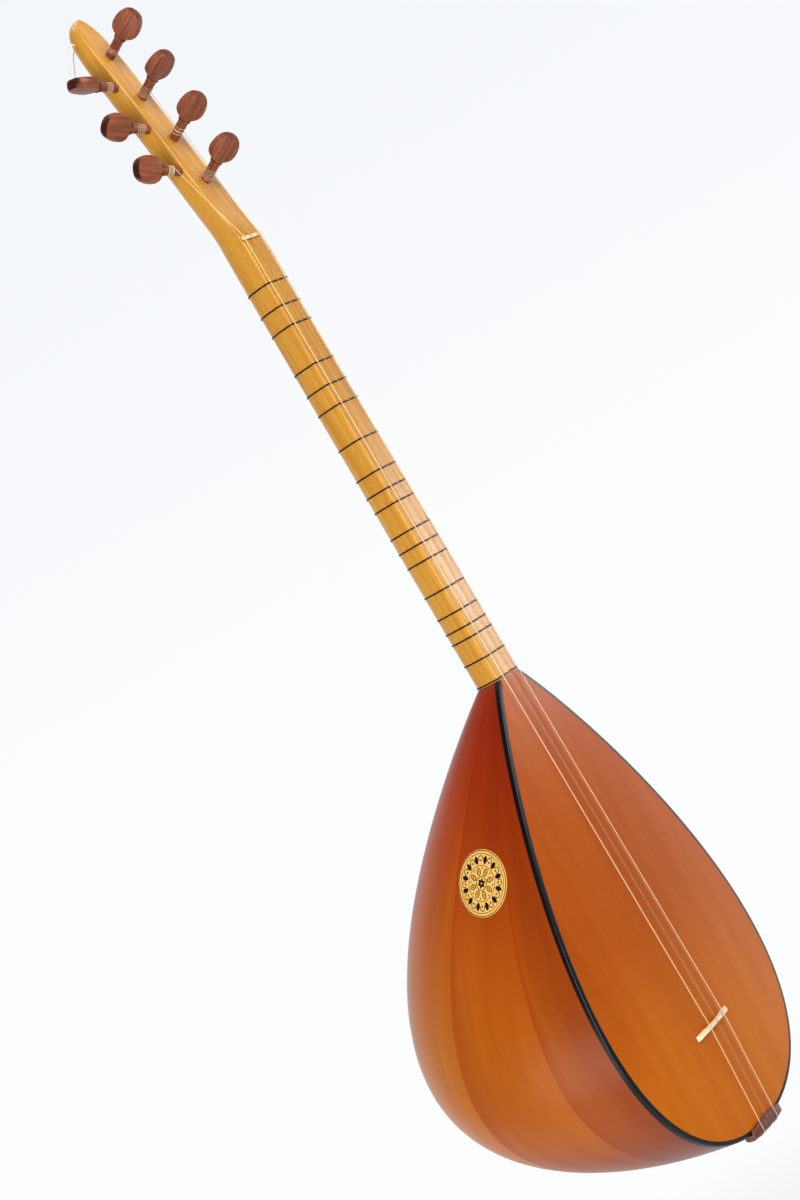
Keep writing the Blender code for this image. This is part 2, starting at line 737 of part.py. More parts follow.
def shaft_radius(length, buried):
    """Radius of a tapered shaft at a length from its seat."""
    share = (length + buried) / (PEG_SHAFT_LENGTH + buried)
    return PEG_TIP_RADIUS + (PEG_SHAFT_RADIUS - PEG_TIP_RADIUS) * share


def hanging_hole():
    """Middle of the cord hole, which runs from side to side through the head's tip."""
    z = SCARF_PLACE + HANGING_HOLE_RISE
    return Vector((0.0, head_face(z) + HANGING_HOLE_DEPTH, z))


def make_head():
    """The head, with tapered peg holes and a small cord hole at its tip."""
    rings = [scarf_ring(GAP * 1.5)]
    for past, _, half_width, thickness in HEAD_STATIONS[1:]:
        z = SCARF_PLACE + past
        rings.append(neck_section(head_face(z), half_width, thickness, z))
    head = loft("headstock", rings, "neck_beech", smooth_below=35.0)
    for name, seat, way, buried, _, _ in all_pegs():
        low = -buried - (PEG_HOLE_REACH if name.startswith("front") else GAP)
        stations = []
        for length in (low, PEG_HOLE_REACH):
            radius = shaft_radius(length, buried) / math.cos(math.pi / PEG_SIDES) + GAP * 0.8
            stations.append((length, radius, radius))
        combine(head, turned("peg_hole_" + name, seat, way, stations, "inner_linden"), "DIFFERENCE")
    way = Vector((-1.0, 0.0, 0.0))
    cord_hole = rod("cord_hole", hanging_hole(), way, HANGING_HOLE_RADIUS, "inner_linden", 8)
    combine(head, cord_hole, "DIFFERENCE")


# Pegs, frets and strings


def make_pegs():
    """Tapered pegs with a collar and a flattened head, each turned its own way."""
    for name, seat, way, buried, turn, _ in all_pegs():
        stations = [(-buried, PEG_TIP_RADIUS, PEG_TIP_RADIUS)]
        stations.append((PEG_SHAFT_LENGTH, PEG_SHAFT_RADIUS, PEG_SHAFT_RADIUS))
        for length, half_width, half_thickness in PEG_HEAD:
            stations.append((PEG_SHAFT_LENGTH + length + WAY_STEP / 10, half_width, half_thickness))
        peg = turned("peg_" + name, Vector((0.0, 0.0, 0.0)), way, stations, "peg_rosewood", turn=turn)
        peg.location = seat


def winding_radius(length, buried):
    """Radius of the middle of a string's turns on a shaft."""
    inside = shaft_radius(length + WINDING_TURNS * WINDING_PITCH, buried) + GAP
    return (inside + WINDING_RADIUS) / math.cos(math.pi / WINDING_POINTS)


def tangent_side(name, way):
    """Side of the shaft that the string comes to."""
    wide, thick = across(way)
    if name.startswith("side"):
        return Vector((0.0, -1.0, 0.0)) - way * -way.y
    return -wide if name == f"front_{FRONT_PEG_COUNT}" else wide


def least_gap(points, radius, neighbours):
    """Least distance between parts of a tube that aren't neighbours along it."""
    places = np.array([tuple(point) for point in points])
    least = math.inf
    for index in range(len(places) - neighbours):
        away = np.linalg.norm(places[index + neighbours:] - places[index], axis=1)
        least = min(least, float(away.min()))
    return least - 2 * radius


def make_windings():
    """The turns of string on each shaft, one unbroken tube a peg."""
    for name, seat, way, buried, _, place in all_pegs():
        side = tangent_side(name, way).normalized()
        other = way.cross(side)
        radius = winding_radius(place, buried)
        points = []
        for step in range(WINDING_TURNS * WINDING_POINTS + 1):
            swing = math.tau * step / WINDING_POINTS
            length = place + WINDING_PITCH * step / WINDING_POINTS
            out = side * math.cos(swing) + other * math.sin(swing)
            points.append(seat + way * length + out * radius)
        tube("winding_" + name, points, WINDING_RADIUS, 1, "string_steel")
        gap = least_gap(points, WINDING_RADIUS, WINDING_POINTS // 2)
        print(f"winding_{name}: least gap between turns {gap * 1000:.2f} mm")


def string_x(number, spread, shift):
    """Sideways place of a string where the courses have a spread and the middle one is shifted."""
    course, place = STRINGS[number - 1]
    return course * spread + shift + place * STRING_GAP


def string_at_bridge(number):
    """Where a string lies on the bridge."""
    x = string_x(number, COURSE_SPREAD_AT_BRIDGE, COURSE_SHIFT_AT_BRIDGE)
    return Vector((x, -BRIDGE_TOP - GAP - STRING_RADIUS, BRIDGE_PLACE + x * BRIDGE_SKEW_SLOPE))


def string_at_nut(number):
    """Where a string leaves the nut for its peg."""
    x = string_x(number, COURSE_SPREAD_AT_NUT, COURSE_SHIFT_AT_NUT)
    y = neck_front(NUT_PLACE) - NUT_HEIGHT - GAP - STRING_RADIUS
    return Vector((x, y, NUT_PLACE + NUT_THICKNESS / 2))


def peg_of_string(number):
    """Name of the peg that a string is wound on: three at the side, then four in the face, from below."""
    if number <= SIDE_PEG_COUNT:
        return f"side_{SIDE_PEG_COUNT + 1 - number}"
    return f"front_{FRONT_PEG_COUNT + SIDE_PEG_COUNT + 1 - number}"


def make_strings():
    """Seven strings in three courses, from the tailpiece to beside the turns on their pegs."""
    pegs = {peg[0]: peg for peg in all_pegs()}
    off = GAP + STRING_RADIUS
    for number in range(1, len(STRINGS) + 1):
        x = string_x(number, COURSE_SPREAD_AT_TAIL, COURSE_SHIFT_AT_TAIL)
        name, seat, way, buried, _, place = pegs[peg_of_string(number)]
        length = place - STRING_RADIUS - WINDING_RADIUS - GAP
        side = tangent_side(name, way).normalized()
        end = seat + way * length + side * winding_radius(place, buried)
        route = [
            Vector((x, TAILPIECE_DEPTH * 0.55, -TAILPIECE_NOSE - off)),
            Vector((x, 0.0, -TAILPIECE_NOSE - off)),
            Vector((x, -TAILPIECE_RISE * 0.7 - off, -TAILPIECE_NOSE * 0.75 - off * 0.7)),
            Vector((x, -TAILPIECE_RISE - off, -TAILPIECE_NOSE * 0.3)),
            Vector((x, -TAILPIECE_RISE - off, TAILPIECE_REACH * 0.4)),
            string_at_bridge(number),
            string_at_nut(number),
            end,
        ]
        outer = STRINGS[number - 1][0] != 0
        tube(f"string_{number}", route, STRING_RADIUS, 1, "string_bronze" if outer else "string_steel")


def fret_height(number):
    """Height of a fret, from its step above the open string."""
    return BRIDGE_PLACE + SCALE_LENGTH * 2.0 ** (-FRET_STEPS[number - 1] / 12.0)


def fret_path(z):
    """The way of a tied fret round the neck, with its corners over the front edges."""
    grow = GAP + FRET_RADIUS
    front = neck_front(z)
    half_width = neck_half_width(z) + grow
    ring = neck_section(front, half_width, NECK_DEPTH + grow, z)
    corner = Vector((half_width, front - grow, z))
    return ring + [Vector((-corner.x, corner.y, z)), corner]


def make_frets():
    """Tied frets: one closed loop of line each, with a knot beside the neck."""
    for number in range(1, len(FRET_STEPS) + 1):
        path = fret_path(fret_height(number))
        count = len(path)
        rings = []
        for index, point in enumerate(path):
            before = (point - path[index - 1]).normalized()
            after = (path[(index + 1) % count] - point).normalized()
            way = (before + after).normalized()
            outwards = Vector((way.y, -way.x, 0.0))
            stretch = 1.0 / max(0.75, way.dot(after))
            swell = KNOT_SWELL_RATIO if index == 1 else 1.0
            ring = []
            for step in range(FRET_SIDES):
                swing = math.tau * (step + 0.5) / FRET_SIDES
                out = math.cos(swing) * FRET_RADIUS * stretch * swell + FRET_RADIUS * (swell - 1.0)
                up = math.sin(swing) * FRET_RADIUS * swell
                ring.append(point + outwards * out + Vector((0.0, 0.0, up)))
            rings.append(ring)
        loft(f"fret_{number:02d}", rings, "fret_nylon", endless=True, smooth_below=70.0)


# Nut, bridge and tailpiece


def notched_line(half_length, spread, shift, level):
    """Points along a top edge, from left to right, that dip at every string."""
    line = [(-half_length, level(-half_length))]
    places = sorted(string_x(number, spread, shift) for number in range(1, len(STRINGS) + 1))
    for place in places:
        line.append((place - NOTCH_HALF_WIDTH, level(place)))
        line.append((place, level(place) + NOTCH_DEPTH))
        line.append((place + NOTCH_HALF_WIDTH, level(place)))
    line.append((half_length, level(half_length)))
    return line


def make_nut():
    """A low notched bar across the neck's face."""
    front = neck_front(NUT_PLACE)
    bottom = front - GAP
    half_width = NECK_WIDTH_AT_NUT / 2
    top = front - NUT_HEIGHT
    line = notched_line(half_width - NUT_CORNER, COURSE_SPREAD_AT_NUT, COURSE_SHIFT_AT_NUT, lambda x: top)
    line = [(-half_width, top + NUT_CORNER)] + line + [(half_width, top + NUT_CORNER)]
    rings = []
    for z in (NUT_PLACE - NUT_THICKNESS / 2, NUT_PLACE + NUT_THICKNESS / 2):
        ring = [Vector((x, y, z)) for x, y in line]
        ring += [Vector((half_width, bottom, z)), Vector((-half_width, bottom, z))]
        rings.append(ring)
    return loft("nut", rings, "nut_bone", smooth_below=20.0)


def make_bridge():
    """A thin standing bridge with two feet and a low arch, thinner at its top."""
    half_length = BRIDGE_LENGTH / 2
    inside = half_length - BRIDGE_FOOT_LENGTH

    def top(x):
        return -BRIDGE_TOP + BRIDGE_END_SLOPE * max(0.0, abs(x) - BRIDGE_LEVEL_LENGTH / 2)

    def foot(x):
        return board_front(x, BRIDGE_PLACE) - GAP

    half_top = BRIDGE_TOP_LENGTH / 2
    outline_points = notched_line(half_top, COURSE_SPREAD_AT_BRIDGE, COURSE_SHIFT_AT_BRIDGE, top)
    outline_points.append((half_length, foot(half_length)))
    outline_points.append((inside, foot(inside)))
    for share in (0.6, 0.0, -0.6):
        x = inside * share
        outline_points.append((x, foot(x) - BRIDGE_ARCH * (1.0 - share * share * 0.5)))
    outline_points.append((-inside, foot(inside)))
    outline_points.append((-half_length, foot(half_length)))
    rings = []
    for side in (-0.5, 0.5):
        ring = []
        for x, y in outline_points:
            share = min(1.0, max(0.0, -y / BRIDGE_TOP))
            thickness = BRIDGE_FOOT_THICKNESS + (BRIDGE_TOP_THICKNESS - BRIDGE_FOOT_THICKNESS) * share
            ring.append(Vector((x, y, BRIDGE_PLACE + x * BRIDGE_SKEW_SLOPE + side * thickness)))
        rings.append(ring)
    return loft("bridge", rings, "bridge_maple", smooth_below=20.0)


def tail_edge(x):
    """Height of the body's tail edge at a sideways place."""
    angles = np.linspace(math.pi, math.pi - 0.3, 31)
    widths = [body_half_width(angle) for angle in angles]
    heights = [body_height(angle) for angle in angles]
    return float(np.interp(abs(x), widths, heights))


def make_tailpiece():
    """A saddle over the tail edge, with a rounded nose and a groove for each string."""
    half_width = TAILPIECE_WIDTH / 2
    line = notched_line(half_width, COURSE_SPREAD_AT_TAIL, COURSE_SHIFT_AT_TAIL, lambda x: 0.0)
    rings = []
    for x, dip in line:
        ends = 1.0 - 0.25 * (abs(x) / half_width) ** 6
        top = -TAILPIECE_RISE * ends + dip
        nose = -TAILPIECE_NOSE * ends + dip
        seat = tail_edge(x) - GAP
        ring = [
            (x, -GAP, TAILPIECE_REACH * ends),
            (x, top * 0.75, TAILPIECE_REACH * ends),
            (x, top, TAILPIECE_REACH * 0.8 * ends),
            (x, top, nose * 0.35),
            (x, top * 0.7, nose * 0.8),
            (x, 0.0, nose),
            (x, TAILPIECE_DEPTH * 0.65, nose),
            (x, TAILPIECE_DEPTH, nose * 0.6),
            (x, TAILPIECE_DEPTH, seat),
            (x, -GAP, seat),
        ]
        rings.append([Vector(point) for point in ring])
    return loft("tailpiece", rings, "tailpiece_rosewood", smooth_below=50.0)


# The cord at the head


def smooth_route(points, spacing):
    """Evenly spaced points on a smooth curve through a route's own points."""
    places = [points[0] * 2 - points[1]] + points + [points[-1] * 2 - points[-2]]
    fine = []
    for before, first, second, after in zip(places, places[1:], places[2:], places[3:]):
        for step in range(12):
            share = step / 12
            bend = (second - before) * share
            bend += (before * 2 - first * 5 + second * 4 - after) * share ** 2
            bend += (first * 3 - before - second * 3 + after) * share ** 3
            fine.append(first + bend * 0.5)
    fine.append(points[-1])
    steps = [(after - before).length for before, after in zip(fine, fine[1:])]
    ways = np.concatenate(([0.0], np.cumsum(steps)))
    count = max(2, round(ways[-1] / spacing))
    route = []
    for way in np.linspace(0.0, ways[-1], count + 1):
        place = [float(np.interp(way, ways, [point[axis] for point in fine])) for axis in range(3)]
        route.append(Vector(place))
    return route, float(ways[-1])


def make_hanging_loop():
    """A thin cord through the hole of the head's tip and round, whose ends meet inside the hole."""
    middle = hanging_hole()
    places = [(-GAP, 0.0, 0.0), (-LOOP_STRAIGHT, 0.0, 0.0)]
    places += LOOP_ROUTE
    places += [(LOOP_STRAIGHT, 0.0, 0.0), (GAP, 0.0, 0.0)]
    route, length = smooth_route([middle + Vector(place) for place in places], LOOP_SPACING)
    tube("hanging_loop", route, LOOP_RADIUS, 2, "loop_cotton")
    print(f"hanging_loop: {length * 1000:.0f} mm long")


clear_scene()
make_bowl()
make_soundboard()
make_rim()
make_brace()
make_blocks()
make_neck()
make_head()
make_pegs()
make_windings()
make_strings()
make_frets()
make_nut()
make_bridge()
make_tailpiece()
make_hanging_loop()
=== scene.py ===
"""A varnished short-neck saz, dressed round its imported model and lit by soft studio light."""

import math

import bmesh
import bpy
import numpy as np
from mathutils import Matrix, Vector
from mathutils.bvhtree import BVHTree
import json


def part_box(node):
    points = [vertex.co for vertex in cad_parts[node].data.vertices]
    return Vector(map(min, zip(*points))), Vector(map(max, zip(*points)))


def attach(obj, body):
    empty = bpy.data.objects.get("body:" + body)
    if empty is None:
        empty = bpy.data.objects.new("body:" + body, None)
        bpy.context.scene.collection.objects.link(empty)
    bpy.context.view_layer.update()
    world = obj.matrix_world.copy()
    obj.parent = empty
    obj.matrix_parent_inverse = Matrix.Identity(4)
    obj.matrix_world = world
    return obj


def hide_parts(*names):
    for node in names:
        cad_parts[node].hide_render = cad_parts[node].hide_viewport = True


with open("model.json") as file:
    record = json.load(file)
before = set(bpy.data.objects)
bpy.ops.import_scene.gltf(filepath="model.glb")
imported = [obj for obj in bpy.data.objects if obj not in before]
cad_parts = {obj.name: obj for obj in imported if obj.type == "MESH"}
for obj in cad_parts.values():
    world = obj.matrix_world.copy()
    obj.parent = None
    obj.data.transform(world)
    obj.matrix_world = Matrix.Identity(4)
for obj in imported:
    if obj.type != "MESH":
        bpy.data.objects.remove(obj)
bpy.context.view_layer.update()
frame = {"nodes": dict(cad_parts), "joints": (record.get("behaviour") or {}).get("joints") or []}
MM = 0.001
ROOT = "instrument"

# Form of the bowl, as the model has it
BODY_LENGTH = 0.399
BODY_WIDTH = 0.259
BODY_DEPTH = 0.2396
WIDTH_LEAN = 0.84
DEPTH_LEAN = 0.839
DEPTH_CLOSING = 1.148
BOWL_ROUNDNESS = 2.5
BOWL_WALL = 0.003
STAVE_EDGES = (0.0, 0.075, 0.22, 0.39, 0.61, 0.78, 0.925, 1.0)
STAVE_DRIFT = 0.25
BINDING_WIDTH = 0.0035
BINDING_DEPTH = 0.0045
BOARD_DOME = 0.0025
BOARD_THICKNESS = 0.003
SEAM = 0.0001
STEP = 0.001

# Neck and head: height above the scarf, set-back of the face, half width and thickness
NECK_WIDTH_AT_BODY = 0.031
NECK_WIDTH_AT_NUT = 0.028
NECK_DEPTH = 0.0289
NECK_ROUNDNESS = 2.6
NECK_LEAN = 0.0116
NECK_EDGE = 0.0015
NUT_PLACE = 0.7912
SCARF_PLACE = NUT_PLACE + 0.004
HEAD_STATIONS = (
    (-0.045, -0.00052, 0.01417, 0.0289),
    (-0.012, -0.00014, 0.01402, 0.0287),
    (0.008, 0.0027, 0.0141, 0.0257),
    (0.030, 0.0076, 0.0147, 0.0235),
    (0.055, 0.0120, 0.0147, 0.0229),
    (0.085, 0.0168, 0.0142, 0.0228),
    (0.115, 0.0218, 0.0137, 0.0229),
    (0.145, 0.0269, 0.0138, 0.0227),
    (0.170, 0.0314, 0.0138, 0.0218),
    (0.188, 0.0352, 0.0134, 0.0198),
    (0.1975, 0.0371, 0.0122, 0.0183),
    (0.203, 0.0382, 0.0104, 0.0166),
    (0.208, 0.0392, 0.0077, 0.0140),
    (0.2115, 0.0399, 0.0046, 0.0105),
    (0.21336, 0.04028, 0.0016, 0.0065),
)

# Rosette, in the second stave from the left rim
ROSETTE_RADIUS = 0.0258
ROSETTE_HEIGHT = 0.2735
ROSETTE_STAVE_SHARE = 0.4287

# Pegs: radii that the head is turned to, and the two flats that are cut on it
PEG_SIDES = 40
PEG_SHAFT_LENGTH = 0.0175
PEG_TIP_RADIUS = 0.0033
PEG_SHAFT_RADIUS = 0.0041
PEG_HEAD = (
    (0.0001, 0.0048),
    (0.0014, 0.0051),
    (0.0018, 0.0041),
    (0.0028, 0.0041),
    (0.0031, 0.0051),
    (0.0040, 0.0067),
    (0.0052, 0.0084),
    (0.0068, 0.0098),
    (0.0088, 0.0107),
    (0.0110, 0.0111),
    (0.0135, 0.0112),
    (0.0160, 0.0110),
    (0.0185, 0.0105),
    (0.0210, 0.0097),
    (0.0232, 0.0086),
    (0.0249, 0.0072),
    (0.0261, 0.0054),
    (0.0267, 0.0032),
    (0.0269, 0.0012),
)
PEG_FLAT_AT_BASE = 0.0045
PEG_FLAT_AT_END = 0.0038
PEG_TURNS = {
    "front_1": 1.7, "front_2": 2.9, "front_3": 2.65, "front_4": 2.65, "side_1": 2.9, "side_2": 0.8, "side_3": 1.2,
}

# Heights of the turns of string up each shaft, in millimetres
STRING_TURNS = {
    "front_1": (4.6, 5.8, 7.4, 9.3),
    "front_2": (1.6, 2.6, 3.9, 5.4, 7.2, 9.2, 11.4),
    "front_3": (3.2, 7.6, 8.5, 9.6, 12.9),
    "front_4": (1.4, 2.6, 3.9, 5.2, 6.8, 8.6, 10.2, 12.1),
    "side_1": (4.2, 5.3, 6.4, 7.5, 8.8, 10.2),
    "side_2": (3.8, 5.4, 7.0, 8.6, 10.4, 12.4),
    "side_3": (7.4, 8.3, 9.2, 10.6, 12.4, 13.4),
}

# Cord through the tip of the head, in points seen from the middle of its hole
LOOP_RADIUS = 0.0005
LOOP_HOLE = (0.1963, 0.0113)
LOOP_STRAIGHT = 0.0095
LOOP_ROUTE = (
    (-0.0125, 0.0015, 0.0020),
    (-0.0125, 0.0045, 0.0015),
    (-0.0125, 0.0090, -0.0040),
    (-0.0125, 0.0135, -0.0115),
    (-0.0115, 0.0180, -0.0190),
    (-0.0095, 0.0205, -0.0235),
    (-0.0045, 0.0205, -0.0195),
    (-0.0015, 0.0180, -0.0115),
    (0.0005, 0.0155, -0.0045),
    (0.0040, 0.0135, 0.0015),
    (0.0085, 0.0120, 0.0010),
    (0.0135, 0.0085, 0.0000),
    (0.0150, 0.0025, 0.0000),
)

# Camera, fitted to the photograph's frame of 800 by 1200
CAMERA_PLACE = (-1.7015, -1.1482, 0.4850)
CAMERA_RIGHT = (0.50163, -0.70772, -0.49749)
CAMERA_UP = (0.28535, -0.40752, 0.86747)
CAMERA_LENS = 79.79

# Level way from the camera to the instrument, on which the white wall stands
BEYOND = (0.8167, 0.5771, 0.0)


# Nodes and colours


def colour(code):
    """Linear colour of an sRGB hex code."""
    values = [int(code[place:place + 2], 16) / 255 for place in (1, 3, 5)]
    linear = [v / 12.92 if v <= 0.04045 else ((v + 0.055) / 1.055) ** 2.4 for v in values]
    return (*linear, 1.0)


def add_node(tree, kind, inputs=None, **settings):
    """Add a node with its settings, and its inputs as values or as links from other nodes."""
    node = tree.nodes.new(kind)
    for name, value in settings.items():
        setattr(node, name, value)
    for name, value in (inputs or {}).items():
        if isinstance(value, bpy.types.NodeSocket):
            tree.links.new(value, node.inputs[name])
        else:
            node.inputs[name].default_value = value
    return node


def new_material(name):
    """An empty material, its tree and its shader."""
    material = bpy.data.materials.new(name)
    material.use_nodes = True
    return material, material.node_tree, material.node_tree.nodes["Principled BSDF"]


def set_stops(node, stops):
    """Give a colour ramp its stops of place and colour."""
    elements = node.color_ramp.elements
    while len(elements) < len(stops):
        elements.new(0.5)
    for element, (place, value) in zip(elements, stops):
        element.position = place
        element.color = value
    return node.outputs["Color"]


def tone(tree, factor, *stops):
    """A colour that follows a factor through stops."""
    return set_stops(add_node(tree, "ShaderNodeValToRGB", {"Fac": factor}), stops)


def mixed(tree, factor, first, second, blend="MIX"):
    """A mix of two colours."""
    node = add_node(tree, "ShaderNodeMix", {0: factor, 6: first, 7: second}, data_type="RGBA", blend_type=blend)
    return node.outputs[2]


def grain_space(tree, across_mm, along_mm, way=None, uv=None, shift=0.0):
    """Coordinates in which one unit is a grain's width across and its length along a way."""
    if uv is None:
        place = add_node(tree, "ShaderNodeTexCoord").outputs["Object"]
        turn = (0.0, 0.0, 0.0)
        if way is not None:
            wide, thick = across(way)
            turn = Matrix((wide, thick, way)).transposed().to_euler()
        size = (across_mm * MM, across_mm * MM, along_mm * MM)
    else:
        place = add_node(tree, "ShaderNodeUVMap", uv_map=uv).outputs["UV"]
        turn = (0.0, 0.0, 0.0)
        size = (across_mm * MM, along_mm * MM, 1.0)
    return add_node(tree, "ShaderNodeMapping", {
        "Vector": place, "Location": (shift, shift * 0.7, shift * 0.3), "Rotation": turn, "Scale": size,
    }, vector_type="TEXTURE").outputs["Vector"]


def across(way):
    """Two unit vectors square to a way and to each other."""
    first = Vector((0.0, 0.0, 1.0)).cross(way).normalized()
    return first, way.cross(first).normalized()


def streaks(tree, space, detail=4.0, roughness=0.55, bend=0.3):
    """A noise of long streaks in a grain's own space."""
    return add_node(tree, "ShaderNodeTexNoise", {
        "Vector": space, "Scale": 1.0, "Detail": detail, "Roughness": roughness, "Distortion": bend,
    }).outputs["Fac"]


def varnished_wood(name, tones, figure_mm, pore_mm, pore_depth, gloss, way=None, uv=None, shift=0.0, shades=(),
                   fleck=None, end_grain_and_shade=None):
    """Wood under a finish: slow figure, fine pores along the grain, and shades along one axis.

    Gloss is roughness, specular level, coat weight and coat roughness. A shade is an axis, the places at
    which it starts and ends and the colour that it multiplies by there. A fleck is its size, share and colour,
    and end grain and shade is the colour that the cut ends across the way are multiplied by, partly for end
    grain and partly as painted shade.
    """
    material, tree, shader = new_material(name)
    figure = streaks(tree, grain_space(tree, *figure_mm, way, uv, shift))
    spread = len(tones) - 1
    tint = tone(tree, figure, *[(0.32 + 0.36 * n / spread, colour(code)) for n, code in enumerate(tones)])
    pores = streaks(tree, grain_space(tree, *pore_mm, way, uv, shift), 2.0, 0.6, 0.0)
    pore_mask = tone(tree, pores, (0.52, (0, 0, 0, 1)), (0.70, (1, 1, 1, 1)))
    deep = add_node(tree, "ShaderNodeMath", {0: pore_mask, 1: pore_depth}, operation="MULTIPLY").outputs[0]
    tint = mixed(tree, deep, tint, colour(tones[0]), "MULTIPLY")
    if fleck:
        size, share, code = fleck
        spots = streaks(tree, grain_space(tree, size[0], size[1], way, uv, shift + 0.37), 1.0, 0.5, 0.0)
        mask = tone(tree, spots, (0.64, (0, 0, 0, 1)), (0.74, (share, share, share, 1)))
        tint = mixed(tree, mask, tint, colour(code))
    for axis, start, end, code in shades:
        if axis in ("U", "V"):
            place = add_node(tree, "ShaderNodeUVMap", uv_map="share").outputs["UV"]
            axis = "X" if axis == "U" else "Y"
        else:
            place = add_node(tree, "ShaderNodeTexCoord").outputs["Object"]
        value = add_node(tree, "ShaderNodeSeparateXYZ", {"Vector": place}).outputs[axis]
        share = add_node(tree, "ShaderNodeMapRange", {"Value": value, "From Min": start, "From Max": end},
                         interpolation_type="SMOOTHSTEP").outputs["Result"]
        tint = mixed(tree, share, tint, colour(code), "MULTIPLY")
    # cut ends multiplied by a given colour: partly end grain, partly painted shade
    if end_grain_and_shade:
        facing = add_node(tree, "ShaderNodeNewGeometry").outputs["Normal"]
        ends = add_node(tree, "ShaderNodeVectorMath", {0: facing, 1: way}, operation="DOT_PRODUCT").outputs["Value"]
        share = add_node(tree, "ShaderNodeMapRange", {"Value": ends, "From Min": 0.5, "From Max": 0.8})
        tint = mixed(tree, share.outputs["Result"], tint, colour(end_grain_and_shade), "MULTIPLY")
    tree.links.new(tint, shader.inputs["Base Color"])
    bump = add_node(tree, "ShaderNodeBump", {"Height": pore_mask, "Strength": 0.04, "Distance": 0.1 * MM})
    tree.links.new(bump.outputs["Normal"], shader.inputs["Normal"])
    shader.inputs["Roughness"].default_value = gloss[0]
    shader.inputs["Specular IOR Level"].default_value = gloss[1]
    shader.inputs["Coat Weight"].default_value = gloss[2]
    shader.inputs["Coat Roughness"].default_value = gloss[3]
    return material


def plain_finish(name, code, roughness, metallic=0.0, mottle_mm=2.0, mottle=0.12, coat=0.0, specular=0.5):
    """A moulded, drawn or cut surface with a slight mottle and fine unevenness."""
    material, tree, shader = new_material(name)
    noise = streaks(tree, grain_space(tree, mottle_mm, mottle_mm), 4.0, 0.5, 0.0)
    base = colour(code)
    dark = tuple(value * (1 - mottle) for value in base[:3]) + (1.0,)
    tree.links.new(tone(tree, noise, (0.35, dark), (0.65, base)), shader.inputs["Base Color"])
    bump = add_node(tree, "ShaderNodeBump", {"Height": noise, "Strength": 0.05, "Distance": 0.05 * MM})
    tree.links.new(bump.outputs["Normal"], shader.inputs["Normal"])
    shader.inputs["Roughness"].default_value = roughness
    shader.inputs["Metallic"].default_value = metallic
    shader.inputs["Specular IOR Level"].default_value = specular
    shader.inputs["Coat Weight"].default_value = coat
    shader.inputs["Coat Roughness"].default_value = 0.1
    return material


# Red-brown stained mahogany staves under satin varnish: each board has its own tone, and all darken to the neck;
# painted shade also darkens them towards the bottom and along the strip next to the board's edge
STAVE_TONES = (
    ("#964504", "#9D4B06", "#A35109"),
    ("#9C4A05", "#A25007", "#A8560A"),
    ("#A55604", "#AB5C06", "#B06209"),
    ("#9E5005", "#A45607", "#A95C0A"),
    ("#A55604", "#AB5C06", "#B06209"),
    ("#9C4A05", "#A25007", "#A8560A"),
    ("#964504", "#9D4B06", "#A35109"),
)
staves_finish = [
    varnished_wood(f"satin_varnished_stave_{number}", tones, (17, 190), (0.5, 9), 0.06, (0.3, 0.24, 0.0, 0.2),
                   uv="grain", shift=number * 0.31,
                   # the last two shades are painted shade: darker towards the bottom and towards the board's edge
                   shades=(("Z", 0.14, 0.385, "#DE8A22"), ("U", 0.86, 0.99, "#FDE8CC"), ("Z", 0.085, 0.0, "#C8AC98"),
                           ("Y", 0.09, 0.0, "#E0CCB4")))
    for number, tones in enumerate(STAVE_TONES, 1)
]
# Orange stained spruce under satin varnish: a nearly even tone with hair-fine straight grain, with painted shade
# that darkens the board above its lowest part
board_finish = varnished_wood("satin_varnished_spruce", ("#AE5704", "#B45D07", "#BA630A"), (24, 230), (0.9, 160),
                              0.04, (0.25, 0.09, 0.0, 0.3), shades=(("Z", 0.04, 0.22, "#E8CEBC"),))
# Yellow stained beech under satin varnish: warm even wood with short dark flecks
neck_finish = varnished_wood("satin_varnished_beech", ("#B87D2A", "#C48A33", "#CD953B"), (5, 110), (0.45, 5), 0.18,
                             (0.26, 0.34, 0.0, 0.2), fleck=((0.6, 1.8), 0.75, "#8A5416"))
# Rosewood rubbed with oil: brown with a red cast, dark lines along the grain; the cut ends are darkened a little on
# the front pegs as end grain, and much more on the side pegs as painted shade
peg_finish = {
    kind: varnished_wood(f"oiled_rosewood_{kind}", ("#6E3824", "#824830", "#94563C"), (2.2, 30), (0.35, 5), 0.35,
                         (0.42, 0.2, 0.0, 0.3), way=way, shift=0.2, end_grain_and_shade=ends)
    for kind, way, ends in (("front", Vector((0.0, -0.93667, 0.35021)), "#D8C4BC"),
                            ("side", Vector((-0.95642, 0.09726, 0.27558)), "#7C5A50"))
}
tail_finish = varnished_wood("dark_oiled_rosewood", ("#46231F", "#65352F", "#75423A"), (2.4, 20), (0.4, 5), 0.5,
                             (0.38, 0.3, 0.0, 0.3), way=Vector((1.0, 0.0, 0.0)))
# Black celluloid, scraped flush and polished
binding_finish = plain_finish("black_celluloid_binding", "#07080A", 0.3, specular=0.25)
# Bone, filed and polished
bone_finish = plain_finish("polished_bone", "#E2CE9E", 0.5, mottle=0.08, specular=0.2)
# Maple left bare off the scraper
maple_finish = plain_finish("bare_maple", "#E8D4AC", 0.6, mottle=0.15, mottle_mm=1.0, specular=0.2)
# Boxwood, turned and waxed
boxwood_finish = plain_finish("waxed_boxwood_disc", "#DAAC58", 0.5, mottle=0.1, specular=0.15)
# Lines burnt into the wood
burnt_finish = plain_finish("burnt_line", "#120805", 0.7, specular=0.1)
# Fretting line of black nylon
nylon_finish = plain_finish("black_nylon_line", "#070709", 0.4, specular=0.3)
# Drawn steel wire, dull against the light wood
steel_finish = plain_finish("drawn_steel_string", "#B08868", 0.5, metallic=0.3, mottle=0.05)
